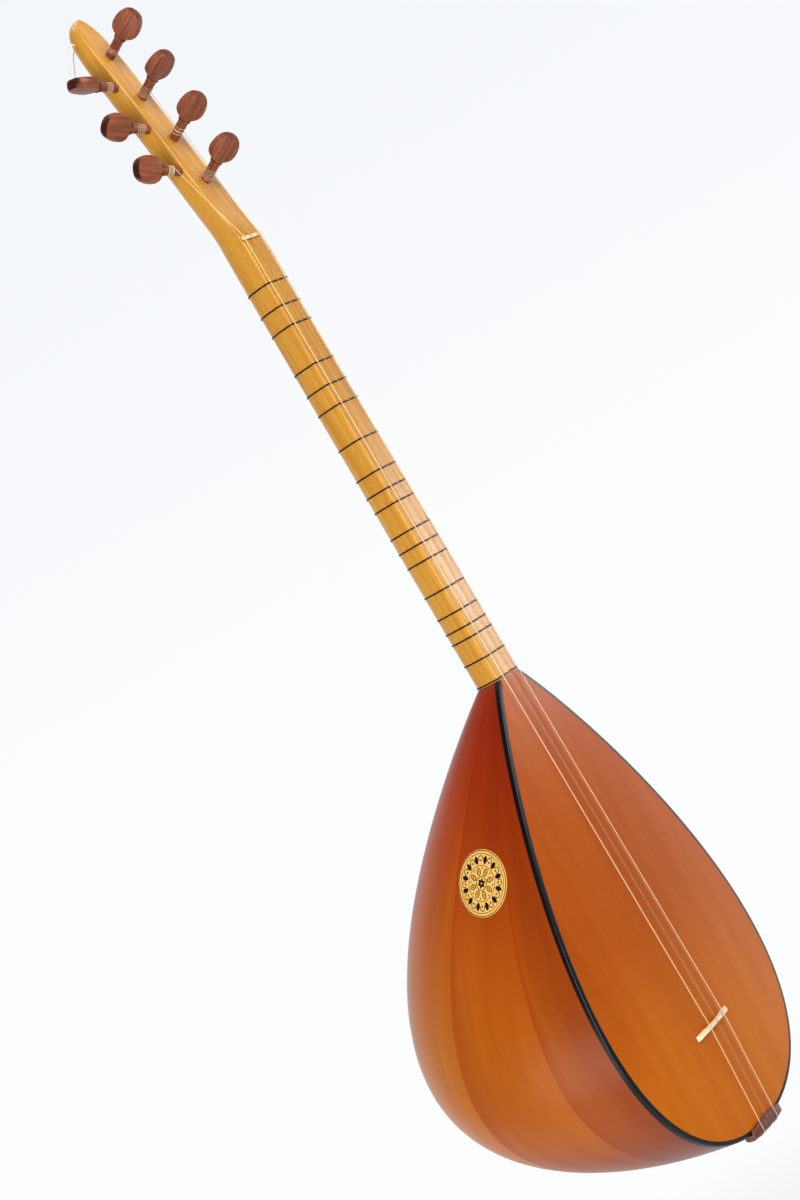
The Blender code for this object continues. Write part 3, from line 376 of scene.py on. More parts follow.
# The same wire in close turns, painted paler than the plain wire as a painted highlight, since close turns catch
# more light
painted_highlight_turns_finish = plain_finish("wound_steel_turns_painted_highlight", "#DABB98", 0.5, metallic=0.2, mottle=0.05)
# Bronze wound wire, which catches the light
bronze_finish = plain_finish("wound_bronze_string", "#F2D8A4", 0.5, metallic=0.2, mottle=0.1)
# Undyed cotton, twisted
cotton_finish = plain_finish("undyed_cotton_cord", "#E8DDD0", 0.9, mottle=0.1)
# Linden left bare inside the bowl
inner_finish = varnished_wood("bare_linden", ("#A88A5C", "#B89A6C", "#C4A87C"), (6, 120), (0.5, 6), 0.15,
                              (0.75, 0.4, 0.0, 0.1))


# Mesh helpers


def dress(piece, finish, body=ROOT, nodes=()):
    """Give a piece its finish, its body and the nodes that it stands for."""
    piece.data.materials.clear()
    piece.data.materials.append(finish)
    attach(piece, body)
    if nodes:
        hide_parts(*nodes)
    return piece


def add_piece(name, points, faces, finish, slot, body=ROOT, nodes=(), sharp=35.0):
    """A smooth-shaded mesh from points and faces, all facing outwards."""
    mesh = bpy.data.meshes.new(name)
    mesh.from_pydata([tuple(point) for point in points], [], faces)
    shape = bmesh.new()
    shape.from_mesh(mesh)
    bmesh.ops.recalc_face_normals(shape, faces=shape.faces)
    shape.to_mesh(mesh)
    shape.free()
    mesh.shade_smooth()
    mesh.set_sharp_from_angle(angle=math.radians(sharp))
    piece = bpy.data.objects.new(name, mesh)
    bpy.context.scene.collection.objects.link(piece)
    return dress(piece, finish, body, nodes)


def ring_faces(rows, count, closed_rows=False, caps=True):
    """Faces of a loft of rows of equally many points."""
    faces = []
    for row in range(rows if closed_rows else rows - 1):
        here = row * count
        there = (row + 1) % rows * count
        for step in range(count):
            after = (step + 1) % count
            faces.append((here + step, here + after, there + after, there + step))
    if caps and not closed_rows:
        faces.append(tuple(range(count)))
        faces.append(tuple(range((rows - 1) * count, rows * count)))
    return faces


def loft(name, rings, finish, slot, closed_rows=False, **more):
    """A piece through rings of points."""
    points = [point for ring in rings for point in ring]
    return add_piece(name, points, ring_faces(len(rings), len(rings[0]), closed_rows), finish, slot, **more)


def add_map(piece, name, places):
    """A UV map that gives each point its own place."""
    layer = piece.data.uv_layers.new(name=name)
    corners = np.empty(len(piece.data.loops), dtype=np.int32)
    piece.data.loops.foreach_get("vertex_index", corners)
    layer.uv.foreach_set("vector", np.asarray(places, dtype=np.float32)[corners].ravel())


def refined(node, name, finish, bevel=0.3 * MM, angle=30.0):
    """A merged copy of a node with softened edges, which stands for it."""
    mesh = frame["nodes"][node].data.copy()
    shape = bmesh.new()
    shape.from_mesh(mesh)
    bmesh.ops.remove_doubles(shape, verts=shape.verts, dist=0.00001)
    bmesh.ops.dissolve_limit(shape, angle_limit=math.radians(0.5), verts=shape.verts, edges=shape.edges)
    shape.to_mesh(mesh)
    shape.free()
    piece = bpy.data.objects.new(name, mesh)
    bpy.context.scene.collection.objects.link(piece)
    soften = piece.modifiers.new("soften", "BEVEL")
    soften.width = bevel
    soften.segments = 2
    soften.limit_method = "ANGLE"
    soften.angle_limit = math.radians(angle)
    mesh.shade_smooth()
    mesh.set_sharp_from_angle(angle=math.radians(60.0))
    return dress(piece, finish, nodes=[node])


def thin_wire(node, name, finish, less):
    """A merged copy of a string's node, drawn thinner by the same amount all round."""
    mesh = frame["nodes"][node].data.copy()
    shape = bmesh.new()
    shape.from_mesh(mesh)
    bmesh.ops.remove_doubles(shape, verts=shape.verts, dist=0.00001)
    shape.normal_update()
    places = [vert.co - vert.normal * less for vert in shape.verts]
    for vert, place in zip(shape.verts, places):
        vert.co = place
    shape.to_mesh(mesh)
    shape.free()
    mesh.shade_smooth()
    piece = bpy.data.objects.new(name, mesh)
    bpy.context.scene.collection.objects.link(piece)
    return dress(piece, finish, nodes=[node])


def tube(name, points, radius, finish, body=ROOT, nodes=(), sides=3, endless=False):
    """A round wire along points, as a curve."""
    curve = bpy.data.curves.new(name, "CURVE")
    curve.dimensions = "3D"
    curve.bevel_depth = radius
    curve.bevel_resolution = sides
    curve.use_fill_caps = True
    spline = curve.splines.new("POLY")
    spline.points.add(len(points) - 1)
    for target, point in zip(spline.points, points):
        target.co = (*point, 1.0)
    spline.use_cyclic_u = endless
    piece = bpy.data.objects.new(name, curve)
    bpy.context.scene.collection.objects.link(piece)
    return dress(piece, finish, body, nodes)


def turned_blank(name, stations):
    """A round blank drawn out along Z, station by station, from its flat end."""
    bpy.ops.object.select_all(action="DESELECT")
    height, radius = stations[0]
    bpy.ops.mesh.primitive_circle_add(vertices=PEG_SIDES, radius=radius, fill_type="NGON")
    blank = bpy.context.object
    blank.name = name
    bpy.ops.object.mode_set(mode="EDIT")
    bpy.ops.mesh.select_all(action="SELECT")
    for length, wide in stations[1:]:
        bpy.ops.mesh.extrude_region_move(TRANSFORM_OT_translate={"value": (0.0, 0.0, length - height)})
        middle = (0.0, 0.0, length - stations[0][0])
        bpy.ops.transform.resize(value=(wide / radius, wide / radius, 1.0), center_override=middle)
        height, radius = length, wide
    return blank


def cut_flats(base, length):
    """Cut two flats on the blank that is being shaped: they close in from its base to its end."""
    lean = math.atan((PEG_FLAT_AT_BASE - PEG_FLAT_AT_END) / length)
    for side in (1.0, -1.0):
        bpy.ops.mesh.select_all(action="SELECT")
        bpy.ops.mesh.bisect(plane_co=(0.0, side * PEG_FLAT_AT_BASE, base), use_fill=True, clear_outer=True,
                            plane_no=(0.0, side * math.cos(lean), math.sin(lean)))
    bpy.ops.mesh.select_all(action="SELECT")
    bpy.ops.mesh.normals_make_consistent(inside=False)
    bpy.ops.object.mode_set(mode="OBJECT")


# The form of the bowl: an angle of 0 is the neck end and pi is the tail end


def body_height(angle):
    """Height of a section of the bowl."""
    return BODY_LENGTH * (1.0 + math.cos(angle)) / 2.0


def body_angle(height):
    """Angle of the section at a height."""
    return math.acos(2.0 * height / BODY_LENGTH - 1.0)


def swelling(angle, lean, closing):
    """Share of the full swell that a section has."""
    return (angle / math.pi) ** lean * max(math.sin(angle), 0.0) ** closing


def full_swell(total, joint_size, lean, closing):
    """Swell at which the largest section just reaches the total."""
    limits = []
    for angle in np.linspace(0.2, 3.0, 141):
        rest = total - joint_size * body_height(angle) / BODY_LENGTH
        limits.append(rest / swelling(angle, lean, closing))
    return min(limits)


WIDTH_SWELL = full_swell(BODY_WIDTH / 2, NECK_WIDTH_AT_BODY / 2, WIDTH_LEAN, 1.0)
DEPTH_SWELL = full_swell(BODY_DEPTH, NECK_DEPTH, DEPTH_LEAN, DEPTH_CLOSING)


def body_half_width(angle):
    """Half width of the section at an angle."""
    taper = NECK_WIDTH_AT_BODY / 2 * body_height(angle) / BODY_LENGTH
    return WIDTH_SWELL * swelling(angle, WIDTH_LEAN, 1.0) + taper


def body_depth(angle):
    """Depth of the section at an angle."""
    taper = NECK_DEPTH * body_height(angle) / BODY_LENGTH
    return DEPTH_SWELL * swelling(angle, DEPTH_LEAN, DEPTH_CLOSING) + taper


def rounded(value, roundness):
    """A sine or cosine bent towards a squarer curve."""
    return math.copysign(abs(value) ** (2.0 / roundness), value)


def bowl_skin(angle, turn):
    """Point of the outer skin: a turn of 0 is the right rim and pi is the left rim."""
    x = body_half_width(angle) * rounded(math.cos(turn), BOWL_ROUNDNESS)
    y = body_depth(angle) * rounded(math.sin(turn), BOWL_ROUNDNESS)
    return Vector((x, y, body_height(angle)))


def bowl_normal(angle, turn):
    """Outward normal of the outer skin."""
    along = bowl_skin(angle + STEP, turn) - bowl_skin(angle - STEP, turn)
    round_it = bowl_skin(angle, turn + STEP) - bowl_skin(angle, turn - STEP)
    normal = along.cross(round_it).normalized()
    outwards = bowl_skin(angle, turn) - Vector((0.0, 0.0, BODY_LENGTH / 2))
    return normal if normal.dot(outwards) > 0 else -normal


def turns_at_shares(angle, shares):
    """Turns at shares of the way round a section, and the length of that way."""
    rim = math.asin(min(1.0, ((BINDING_DEPTH + SEAM) / body_depth(angle)) ** (BOWL_ROUNDNESS / 2)))
    turns = np.linspace(math.pi - rim, rim, 161)
    points = [bowl_skin(angle, turn) for turn in turns]
    steps = [(after - before).length for before, after in zip(points, points[1:])]
    ways = np.concatenate(([0.0], np.cumsum(steps)))
    return np.interp(np.array(shares) * ways[-1], ways, turns), ways[-1]


def edge_share(edge, angle):
    """Share of the way round at which two staves meet."""
    return edge + STAVE_DRIFT * (angle / math.pi - 0.5) * math.sin(math.tau * edge)


def outline(angle, inset=0.0):
    """Half width and height of the body's outline, drawn in along its own normal."""
    before = Vector((body_half_width(angle - STEP), body_height(angle - STEP)))
    reach = min(angle + STEP, math.pi)
    after = Vector((body_half_width(reach), body_height(reach)))
    way = (after - before).normalized()
    x = body_half_width(angle) + way.y * inset
    z = body_height(angle) - way.x * inset
    if angle <= NECK_END_ANGLE:
        z = BODY_LENGTH - SEAM
    return x, z


NECK_END_ANGLE = body_angle(BODY_LENGTH - SEAM)
TAIL_END_ANGLE = body_angle(0.0006)


# The bowl


def make_staves(rows=84):
    """Seven bent staves, fine enough for smooth reflections, with maps that follow their grain."""
    angles = np.linspace(NECK_END_ANGLE, TAIL_END_ANGLE, rows)
    lengths = [turns_at_shares(angle, (0.0,))[1] for angle in angles]
    for number in range(1, len(STAVE_EDGES)):
        first, last = STAVE_EDGES[number - 1], STAVE_EDGES[number]
        columns = max(4, round((last - first) * 60))
        rings, grain, shares = [], [], []
        way_down, middle = 0.0, None
        for row, (angle, length) in enumerate(zip(angles, lengths)):
            low = edge_share(first, angle) + (SEAM / 2 / length if number > 1 else 0.0)
            high = edge_share(last, angle) - (SEAM / 2 / length if number < len(STAVE_EDGES) - 1 else 0.0)
            places = np.linspace(low, high, columns + 1)
            turns = turns_at_shares(angle, places)[0]
            normals = [bowl_normal(angle, turn) for turn in turns]
            outer = [bowl_skin(angle, turn) for turn in turns]
            inner = [point - normal * BOWL_WALL for point, normal in zip(outer, normals)]
            rings.append(outer + inner[::-1])
            if middle is not None:
                way_down += (outer[columns // 2] - middle).length
            middle = outer[columns // 2]
            run = [((place - (low + high) / 2) * length, way_down) for place in places]
            span = [(step / columns, row / (rows - 1)) for step in range(columns + 1)]
            grain += run + run[::-1]
            shares += span + span[::-1]
        stave = loft(f"bent_stave_{number}", rings, staves_finish[number - 1], "stave_mahogany",
                     nodes=[f"stave_{number}"])
        add_map(stave, "grain", grain)
        add_map(stave, "share", shares)


def rosette_place():
    """Angle and turn of the rosette's middle."""
    angle = body_angle(ROSETTE_HEIGHT)
    low, high = edge_share(STAVE_EDGES[1], angle), edge_share(STAVE_EDGES[2], angle)
    turns, _ = turns_at_shares(angle, (low + (high - low) * ROSETTE_STAVE_SHARE,))
    return angle, float(turns[0])


def turned_line(radius, count, swing=0.0):
    """Points of a circle about the rosette's middle, in millimetres."""
    return [(radius * math.cos(swing + math.tau * n / count), radius * math.sin(swing + math.tau * n / count))
            for n in range(count)]


def band(points, width, endless=False):
    """Outline of a thin band along points, in the disc's plane."""
    count = len(points)
    left, right = [], []
    for n, (x, y) in enumerate(points):
        before = points[n - 1] if n or endless else points[0]
        after = points[(n + 1) % count] if n < count - 1 or endless else points[-1]
        way = Vector((after[0] - before[0], after[1] - before[1])).normalized()
        left.append((x - way.y * width / 2, y + way.x * width / 2))
        right.append((x + way.y * width / 2, y - way.x * width / 2))
    return left, right


def make_rosette():
    """A pale disc laid into the bowl, with rings, leaves and dots burnt into it in a plain repeating order."""
    angle, turn = rosette_place()
    middle = bowl_skin(angle, turn)
    normal = bowl_normal(angle, turn)
    wide, high = across(normal)
    rows = np.linspace(angle - 0.25, angle + 0.25, 33)
    turns = np.linspace(turn - 0.3, turn + 0.3, 33)
    skin = [bowl_skin(a, t) for a in rows for t in turns]
    quads = [(r * 33 + c, r * 33 + c + 1, r * 33 + c + 34, r * 33 + c + 33) for r in range(32) for c in range(32)]
    tree = BVHTree.FromPolygons(skin, quads)

    def on_bowl(x, y, proud):
        start = middle + wide * x * MM + high * y * MM + normal * 0.02
        return tree.ray_cast(start, -normal)[0] + normal * proud * MM

    sides = 72
    radius = ROSETTE_RADIUS / MM
    rings = []
    for share, proud in ((0.5, 0.42), (0.9, 0.42), (0.975, 0.42), (0.995, 0.3), (1.0, 0.1), (1.0, -1.1)):
        rings.append([on_bowl(x, y, proud) for x, y in turned_line(radius * share, sides)])
    points = [point for ring in rings for point in ring] + [on_bowl(0.0, 0.0, 0.42)]
    faces = ring_faces(len(rings), sides, caps=False)
    faces.append(tuple(range((len(rings) - 1) * sides, len(rings) * sides)))
    faces += [(step, (step + 1) % sides, len(points) - 1) for step in range(sides)]
    add_piece("rosette_disc", points, faces, boxwood_finish, "rosette_boxwood", nodes=["rosette"])

    points, faces = [], []

    def burn(left, right, endless=False):
        start = len(points)
        count = len(left)
        for x, y in left + right:
            points.append(on_bowl(x, y, 0.5))
        for x, y in left + right:
            points.append(on_bowl(x, y, 0.2))
        low = 2 * count
        for n in range(count if endless else count - 1):
            m = (n + 1) % count
            a, b, c, d = start + n, start + m, start + count + m, start + count + n
            faces.append((a, b, c, d))
            faces.append((a + low, b + low, c + low, d + low))
            faces.append((a, b, b + low, a + low))
            faces.append((d, c, c + low, d + low))
        if not endless:
            for n in (0, count - 1):
                a, d = start + n, start + count + n
                faces.append((a, d, d + low, a + low))

    def placed(shape, swing):
        cos, sin = math.cos(swing), math.sin(swing)
        return [(x * cos - y * sin, x * sin + y * cos) for x, y in shape]

    for ring_radius, width in ((24.9, 0.6), (22.6, 0.4), (13.6, 0.4), (5.2, 0.5)):
        burn(*band(turned_line(ring_radius, 96), width, True), True)
    for step in range(12):
        swing = math.tau * step / 12
        leaf = [(14.6 + 6.8 * t, 1.9 * math.sin(math.pi * t) ** 0.7) for t in np.linspace(0.02, 0.98, 9)]
        burn(placed(leaf, swing), placed([(x, -y) for x, y in leaf], swing))
        arc = [(18.6 + 2.3 * math.cos(a), 2.3 * math.sin(a)) for a in np.linspace(-2.2, 2.2, 13)]
        burn(*band(placed(arc, swing + math.pi / 12), 0.6))
        dot = [(17.3 + 0.75 * t, 0.75 * math.sqrt(max(0.0, 1 - t * t))) for t in np.linspace(-0.98, 0.98, 7)]
        burn(placed(dot, swing + math.pi / 12), placed([(x, -y) for x, y in dot], swing + math.pi / 12))
    for step in range(8):
        swing = math.tau * step / 8
        petal = [(6.0 + 6.4 * t, 1.7 * math.sin(math.pi * t)) for t in np.linspace(0.02, 0.98, 9)]
        burn(*band(placed(petal, swing), 0.7))
        burn(*band(placed([(x, -y) for x, y in petal], swing), 0.7))
        seed = [(8.2 + 2.2 * t, 0.55 * math.sin(math.pi * t)) for t in np.linspace(0.02, 0.98, 5)]
        burn(placed(seed, swing), placed([(x, -y) for x, y in seed], swing))
        bead = [(11.6 + 0.6 * t, 0.6 * math.sqrt(max(0.0, 1 - t * t))) for t in np.linspace(-0.98, 0.98, 7)]
        burn(placed(bead, swing + math.pi / 8), placed([(x, -y) for x, y in bead], swing + math.pi / 8))
    for step in range(6):
        swing = math.tau * step / 6
        petal = [(0.5 + 3.6 * t, 1.15 * math.sin(math.pi * t)) for t in np.linspace(0.02, 0.98, 7)]
        burn(placed(petal, swing), placed([(x, -y) for x, y in petal], swing))
    add_piece("rosette_burnt_lines", points, faces, burnt_finish, "rosette_boxwood", sharp=20.0)


# Soundboard and binding


def board_front(x, z):
    """Place of the soundboard's outer face."""
    share = min(max(z / BODY_LENGTH, 0.0), 1.0)
    half_width = max(body_half_width(body_angle(share * BODY_LENGTH)), 0.001)
    return -BOARD_DOME * math.sin(math.pi * share) ** 0.7 * max(0.0, 1.0 - (x / half_width) ** 2)


def make_board():
    """The domed board and the rounded dark strip at its edge."""
    angles = list(np.linspace(NECK_END_ANGLE, math.pi - 0.06, 90))
    rings = []
    for angle in angles:
        half_width, z = outline(angle, BINDING_WIDTH + SEAM)
        front = [Vector((share * half_width, board_front(share * half_width / 0.97, z), z))
                 for share in np.linspace(-1.0, 1.0, 25)]
        back = [point + Vector((0.0, BOARD_THICKNESS, 0.0)) for point in front]
        rings.append(front + back[::-1])
    loft("varnished_board", rings, board_finish, "board_spruce", nodes=["soundboard"])
    corner = 0.0013
    section = [(0.0, BINDING_DEPTH)]
    for step in range(6):
        swing = math.pi / 2 * step / 5
        section.append((corner - corner * math.cos(swing), corner - corner * math.sin(swing)))
    section += [(BINDING_WIDTH, 0.0), (BINDING_WIDTH, BINDING_DEPTH)]
    rings = []
    angles += list(np.linspace(math.pi - 0.045, math.pi - 0.015, 3))
    for side, run in ((-1.0, angles), (0.0, [math.pi]), (1.0, reversed(angles))):
        for angle in run:
            ring = []
            for inset, y in section:
                x, z = outline(angle, inset)
                ring.append((side * x, y, z if side else inset))
            rings.append(ring)
    loft("rounded_binding", rings, binding_finish, "binding_plastic", nodes=["edge_binding"])


# Neck and head


def neck_front(z):
    """Place of the neck's front face."""
    return (z - BODY_LENGTH) * NECK_LEAN


def smooth_value(place, places, values):
    """A smooth value between given places, without overshoot."""
    index = int(np.clip(np.searchsorted(places, place) - 1, 0, len(places) - 2))
    slopes = np.gradient(values, places)
    width = places[index + 1] - places[index]
    share = (place - places[index]) / width
    a, b = values[index], values[index + 1]
    m, n = slopes[index] * width, slopes[index + 1] * width
    cube, square = share ** 3, share ** 2
    rise = m * (cube - 2 * square + share) + n * (cube - square)
    return a * (2 * cube - 3 * square + 1) + b * (3 * square - 2 * cube) + rise


def head_size(z):
    """Place of the face, half width and thickness of the neck or head at a height."""
    past = z - SCARF_PLACE
    if past < HEAD_STATIONS[0][0]:
        share = (z - BODY_LENGTH) / (NUT_PLACE - BODY_LENGTH)
        return neck_front(z), (NECK_WIDTH_AT_BODY + (NECK_WIDTH_AT_NUT - NECK_WIDTH_AT_BODY) * share) / 2, NECK_DEPTH
    places, *columns = [np.array(column) for column in zip(*HEAD_STATIONS)]
    back, half_width, depth = [float(smooth_value(past, places, column)) for column in columns]
    return neck_front(SCARF_PLACE) + back, half_width, depth


def neck_ring(z, count=33):
    """The section of the neck or head, with eased front edges."""
    front, half_width, depth = head_size(z)
    edge = min(NECK_EDGE, half_width * 0.5, depth * 0.2)
    start = math.asin((edge / depth) ** (NECK_ROUNDNESS / 2))
    side = []
    for step in range(6):
        swing = math.pi / 2 * step / 5
        side.append((half_width - edge + edge * math.sin(swing), edge - edge * math.cos(swing)))
    ring = [Vector((x, front + y, z)) for x, y in side]
    for turn in np.linspace(start, math.pi - start, count)[1:-1]:
        x = half_width * rounded(math.cos(turn), NECK_ROUNDNESS)
        y = depth * abs(rounded(math.sin(turn), NECK_ROUNDNESS))
        ring.append(Vector((x, front + max(y, edge), z)))
    ring += [Vector((-x, front + y, z)) for x, y in reversed(side)]
    return ring


def make_neck():
    """Neck and head as one run of wood, as the varnish makes them look."""
    heights = list(np.linspace(BODY_LENGTH, SCARF_PLACE - 0.05, 24))
    heights += list(np.linspace(SCARF_PLACE - 0.045, SCARF_PLACE + 0.196, 70))
    heights += list(SCARF_PLACE + np.array([0.1985, 0.201, 0.2035, 0.206, 0.208, 0.2098, 0.2112, 0.2122, 0.2129, 0.21336]))
    loft("neck_and_head", [neck_ring(z) for z in heights], neck_finish, "neck_beech", nodes=["neck", "headstock"],
         sharp=50.0)


# Pegs, strings and frets


def make_pegs():
    """Carved pegs with eased edges, and the turns of string on their shafts."""
    for joint in frame["joints"]:
        if not joint["name"].startswith("turn_"):
            continue
        name = joint["name"][5:]
        kind = name.split("_")[0]
        seat, way = Vector(joint["pos_m"]), Vector(joint["axis"]).normalized()
        buried = 0.018
        if kind == "front":
            buried = head_size(seat.z)[2] + 0.0015
        stations = [(-buried, PEG_TIP_RADIUS), (PEG_SHAFT_LENGTH, PEG_SHAFT_RADIUS)]
        stations += [(PEG_SHAFT_LENGTH + length, radius) for length, radius in PEG_HEAD]
        peg = turned_blank("carved_peg_" + name, stations)
        cut_flats(buried + PEG_SHAFT_LENGTH + PEG_HEAD[4][0], PEG_HEAD[-1][0] - PEG_HEAD[4][0])
        ease = peg.modifiers.new("ease", "BEVEL")
        ease.width = 0.2 * MM
        ease.segments = 2
        ease.limit_method = "ANGLE"
        ease.angle_limit = math.radians(40.0)
        bpy.ops.object.modifier_apply(modifier="ease")
        bpy.ops.object.shade_smooth_by_angle(angle=math.radians(32.0))
        wide, thick = across(way)
        turn = PEG_TURNS[name]
        right = wide * math.cos(turn) + thick * math.sin(turn)
        up = thick * math.cos(turn) - wide * math.sin(turn)
        place = Matrix((right, up, way)).transposed().to_4x4()
        peg.data.transform(Matrix.Translation(seat - way * buried) @ place)
        dress(peg, peg_finish[kind], joint["child"], ["peg_" + name])

        heights = np.array(STRING_TURNS[name]) * MM
        side = wide
        if name == "front_4":
            side = -wide
        if kind == "side":
            side = (Vector((0.0, -1.0, 0.0)) + way * way.y).normalized()
        other = way.cross(side)
        radius = 0.00018
        points = []
        steps = (len(heights) - 1) * 24
        for step in range(steps + 1):
            swing = math.tau * step / 24
            length = float(np.interp(step / 24, range(len(heights)), heights))
            shaft = PEG_TIP_RADIUS + (PEG_SHAFT_RADIUS - PEG_TIP_RADIUS) * (length + buried) / (PEG_SHAFT_LENGTH + buried)
            reach = shaft + radius
            points.append(seat + way * length + side * reach * math.cos(swing) + other * reach * math.sin(swing))
        finish = bronze_finish if name in ("front_3", "side_3") else painted_highlight_turns_finish
        tube("string_turns_" + name, points, radius, finish, joint["child"],
             ["winding_" + name], 2)


def make_frets():
    """Tied frets of black line: two turns side by side, with a small knot at the neck's side."""
    radius = 0.0003
    grow = radius + 0.00012
    for joint in frame["joints"]:
        if not joint["name"].startswith("shift_"):
            continue
        number = joint["name"][-2:]
        low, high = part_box("fret_" + number)
        z = (low.z + high.z) / 2
        front, half_width, depth = head_size(z)
        path = []
        for turn in np.linspace(0.06, math.pi - 0.06, 29):
            x = (half_width + grow) * rounded(math.cos(turn), NECK_ROUNDNESS)
            y = front + (depth + grow) * abs(rounded(math.sin(turn), NECK_ROUNDNESS))
            path.append(Vector((x, y, z)))
        reach = NECK_EDGE + grow
        for side in (-1.0, 1.0):
            swings = (0.0, 0.4, 0.8, 1.2, math.pi / 2)
            corner = []
            for swing in swings:
                x = half_width - NECK_EDGE + reach * math.cos(swing)
                y = front + NECK_EDGE - reach * math.sin(swing)
                corner.append(Vector((side * x, y, z)))
            path += corner if side < 0 else corner[::-1]
        rings = []
        for index, point in enumerate(path):
            before = path[index - 1]
            after = path[(index + 1) % len(path)]
            way = (after - before).normalized()
            outwards = Vector((way.y, -way.x, 0.0))
            knot = 1.0 + (1.1 if index in (2, 3) else 0.0)
            ring = []
            for step in range(16):
                swing = math.tau * step / 16
                up = math.sin(swing) * 2.1 * radius * (0.93 + 0.07 * knot)
                out = math.cos(swing) * radius * knot * (1.0 - 0.35 * math.cos(2 * swing) ** 6)
                ring.append(point + outwards * (out + radius * (knot - 1.0)) + Vector((0.0, 0.0, up)))
            rings.append(ring)
        loft("tied_line_" + number, rings, nylon_finish, "fret_nylon", closed_rows=True, body=joint["child"],
             nodes=["fret_" + number], sharp=80.0)


def smooth_route(points, spacing):
    """Evenly spaced points on a smooth curve through a route's own points."""
    places = [points[0] * 2 - points[1]] + points + [points[-1] * 2 - points[-2]]
    fine = []
    for before, first, second, after in zip(places, places[1:], places[2:], places[3:]):
        for step in range(12):
            share = step / 12
            bend = (second - before) * share
            bend += (before * 2 - first * 5 + second * 4 - after) * share ** 2
            bend += (first * 3 - before - second * 3 + after) * share ** 3
            fine.append(first + bend * 0.5)
    fine.append(points[-1])
    steps = [(after - before).length for before, after in zip(fine, fine[1:])]
    ways = np.concatenate(([0.0], np.cumsum(steps)))
    route = []
    for way in np.linspace(0.0, ways[-1], round(ways[-1] / spacing) + 1):
        route.append(Vector([float(np.interp(way, ways, [point[axis] for point in fine])) for axis in range(3)]))
    return route, float(ways[-1])


def make_loop():
    """The thin cord that the instrument hangs by, through the tip of the head."""
    past, behind = LOOP_HOLE
    z = SCARF_PLACE + past
    middle = Vector((0.0, neck_front(SCARF_PLACE) + 0.03686 + behind, z))
    places = [(-0.0003, 0.0, 0.0), (-LOOP_STRAIGHT, 0.0, 0.0)]
    places += LOOP_ROUTE
    places += [(LOOP_STRAIGHT, 0.0, 0.0), (0.0003, 0.0, 0.0)]
    route, length = smooth_route([middle + Vector(place) for place in places], 0.0013)
    cord = tube("hanging_cord", route, LOOP_RADIUS, cotton_finish, nodes=["hanging_loop"], sides=3)


def dress_the_rest():
    """Small fittings with softened edges, and finishes for the nodes that stay."""
    refined("nut", "polished_nut", bone_finish, 0.2 * MM)
    refined("bridge", "maple_bridge", maple_finish, 0.2 * MM)
    refined("tailpiece", "rosewood_tailpiece", tail_finish, 0.4 * MM, 25.0)
    for number in range(1, 8):
        wound = number in (1, 7)
        thin_wire(f"string_{number}", f"wire_{number}", bronze_finish if wound else steel_finish,
                  (0.0 if wound else 0.13) * MM)
    for name in ("rim_lining", "soundboard_brace", "neck_block", "tail_block"):
        node = frame["nodes"][name]
        node.data.materials.clear()
        node.data.materials.append(inner_finish)


# Studio


def wall_colour(tree, way):
    """Colour of the studio's walls along a way: white beyond the instrument, greyer behind and above the camera."""
    rise = add_node(tree, "ShaderNodeSeparateXYZ", {"Vector": way}).outputs["Z"]
    walls = tone(tree, rise, (0.0, colour("#FBFDFE")), (0.26, colour("#F3F6FA")), (0.55, colour("#B4B6BA")),
                 (1.0, colour("#8C8E92")))
    ahead = add_node(tree, "ShaderNodeVectorMath", {0: way, 1: BEYOND}, operation="DOT_PRODUCT").outputs["Value"]
    share = add_node(tree, "ShaderNodeMapRange", {"Value": ahead, "From Min": 0.8, "From Max": 0.2},
                     interpolation_type="SMOOTHSTEP").outputs["Result"]
    return mixed(tree, share, walls, colour("#585A5E"))


def make_floor():
    """A pale floor well below the held instrument, which fades into the walls around it."""
    bpy.ops.object.select_all(action="DESELECT")
    bpy.ops.mesh.primitive_grid_add(x_subdivisions=8, y_subdivisions=8, size=60.0)
    floor = bpy.context.object
    floor.name = "floor"
    floor.data.transform(Matrix.Translation((0.0, 0.0, -0.6)))
    material, tree, shader = new_material("matte_pale_paper")
    shader.inputs["Base Color"].default_value = colour("#E9EDF1")
    shader.inputs["Roughness"].default_value = 0.9
    place = add_node(tree, "ShaderNodeTexCoord").outputs["Object"]
    reach = add_node(tree, "ShaderNodeVectorMath", {0: place}, operation="LENGTH").outputs["Value"]
    share = add_node(tree, "ShaderNodeMapRange", {"Value": reach, "From Min": 0.8, "From Max": 2.6},
                     interpolation_type="SMOOTHSTEP").outputs["Result"]
    level = add_node(tree, "ShaderNodeVectorMath", {0: place, 1: (1.0, 1.0, 0.0)}, operation="MULTIPLY")
    way = add_node(tree, "ShaderNodeVectorMath", {0: level.outputs["Vector"]}, operation="NORMALIZE")
    far = add_node(tree, "ShaderNodeEmission", {"Color": wall_colour(tree, way.outputs["Vector"]), "Strength": 1.0})
    far = far.outputs["Emission"]
    blend = add_node(tree, "ShaderNodeMixShader", {0: share, 1: shader.outputs["BSDF"], 2: far}).outputs["Shader"]
    tree.links.new(blend, tree.nodes["Material Output"].inputs["Surface"])
    floor.data.materials.append(material)


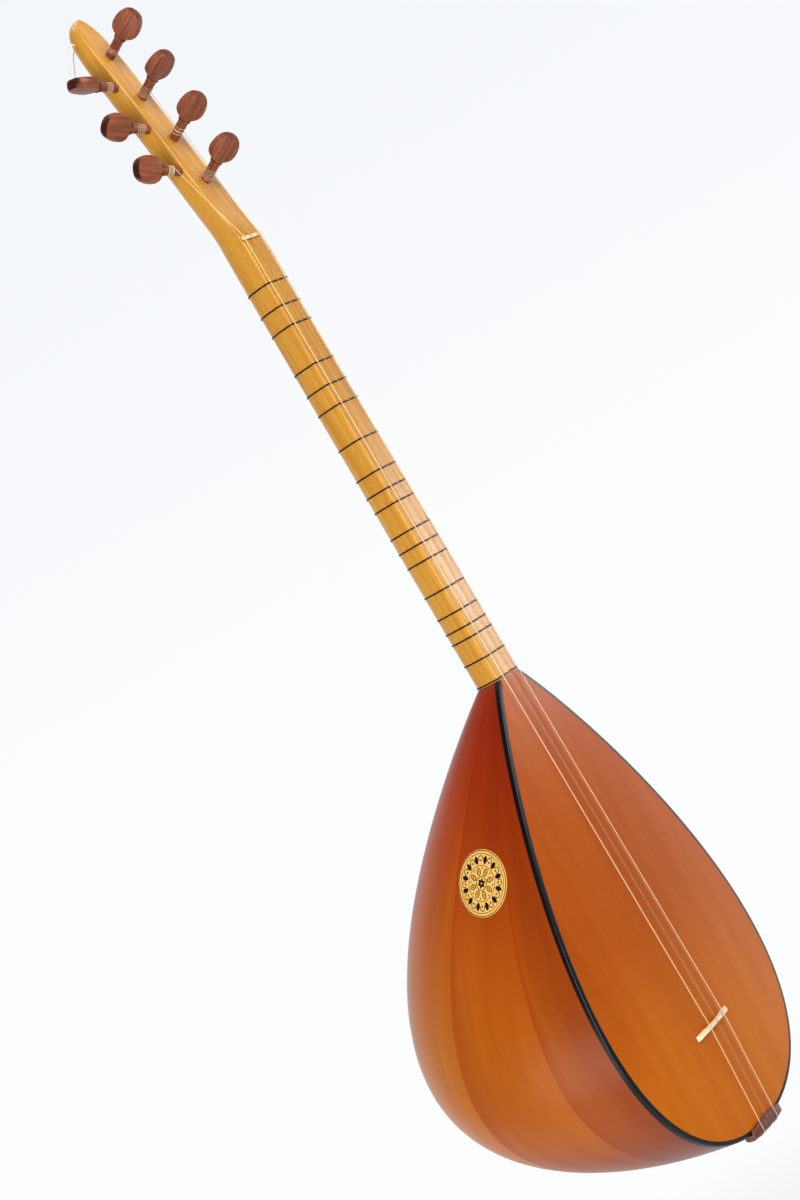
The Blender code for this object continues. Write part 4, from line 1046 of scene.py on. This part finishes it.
def make_studio():
    """Pale walls under a dim ceiling, a soft light in front and a pale panel to the right, and the camera."""
    make_floor()
    world = bpy.data.worlds.new("studio")
    world.use_nodes = True
    tree = world.node_tree
    way = add_node(tree, "ShaderNodeTexCoord").outputs["Generated"]
    tree.links.new(wall_colour(tree, way), tree.nodes["Background"].inputs["Color"])
    bpy.context.scene.world = world
    bpy.context.scene.view_settings.view_transform = "Standard"
    for name, place, target, size, power in (
        ("front_softbox", (-0.5, -2.3, 2.0), (0.0, 0.05, 0.6), (1.3, 1.3), 75.0),
        ("left_softbox", (-3.0, -0.5, 0.5), (0.0, 0.1, 0.35), (1.8, 1.8), 90.0),
        ("low_sheet", (-1.5, 0.9, -0.5), (0.0, 0.1, 0.1), (1.0, 1.0), 10.0),
        ("right_panel", (2.05, -1.35, 0.5), (0.0, 0.0, 0.5), (0.6, 0.42), 10.0),
        ("head_panel", (2.05, -1.1, 1.95), (0.0, 0.0, 0.95), (0.5, 0.5), 2.2),
        ("low_panel", (2.05, -0.75, -0.2), (0.0, 0.0, 0.2), (0.5, 0.8), 4.0),
        ("top_sheet", (0.4, 0.6, 2.8), (0.0, 0.05, 0.3), (1.8, 1.8), 30.0),
    ):
        light = bpy.data.lights.new(name, "AREA")
        light.shape = "RECTANGLE"
        light.size, light.size_y = size
        light.energy = power
        lamp = bpy.data.objects.new(name, light)
        lamp.location = place
        lamp.rotation_euler = (Vector(target) - Vector(place)).to_track_quat("-Z", "Y").to_euler()
        bpy.context.scene.collection.objects.link(lamp)
    data = bpy.data.cameras.new("camera")
    data.lens = CAMERA_LENS
    data.sensor_width = 36.0
    data.clip_end = 100.0
    camera = bpy.data.objects.new("camera", data)
    right, up = Vector(CAMERA_RIGHT).normalized(), Vector(CAMERA_UP).normalized()
    back = right.cross(up)
    camera.matrix_world = Matrix.Translation(CAMERA_PLACE) @ Matrix((right, up, back)).transposed().to_4x4()
    bpy.context.scene.collection.objects.link(camera)
    bpy.context.scene.camera = camera


make_studio()
make_loop()
make_staves()
make_rosette()
make_board()
make_neck()
make_pegs()
make_frets()
dress_the_rest()

bpy.context.view_layer.update()
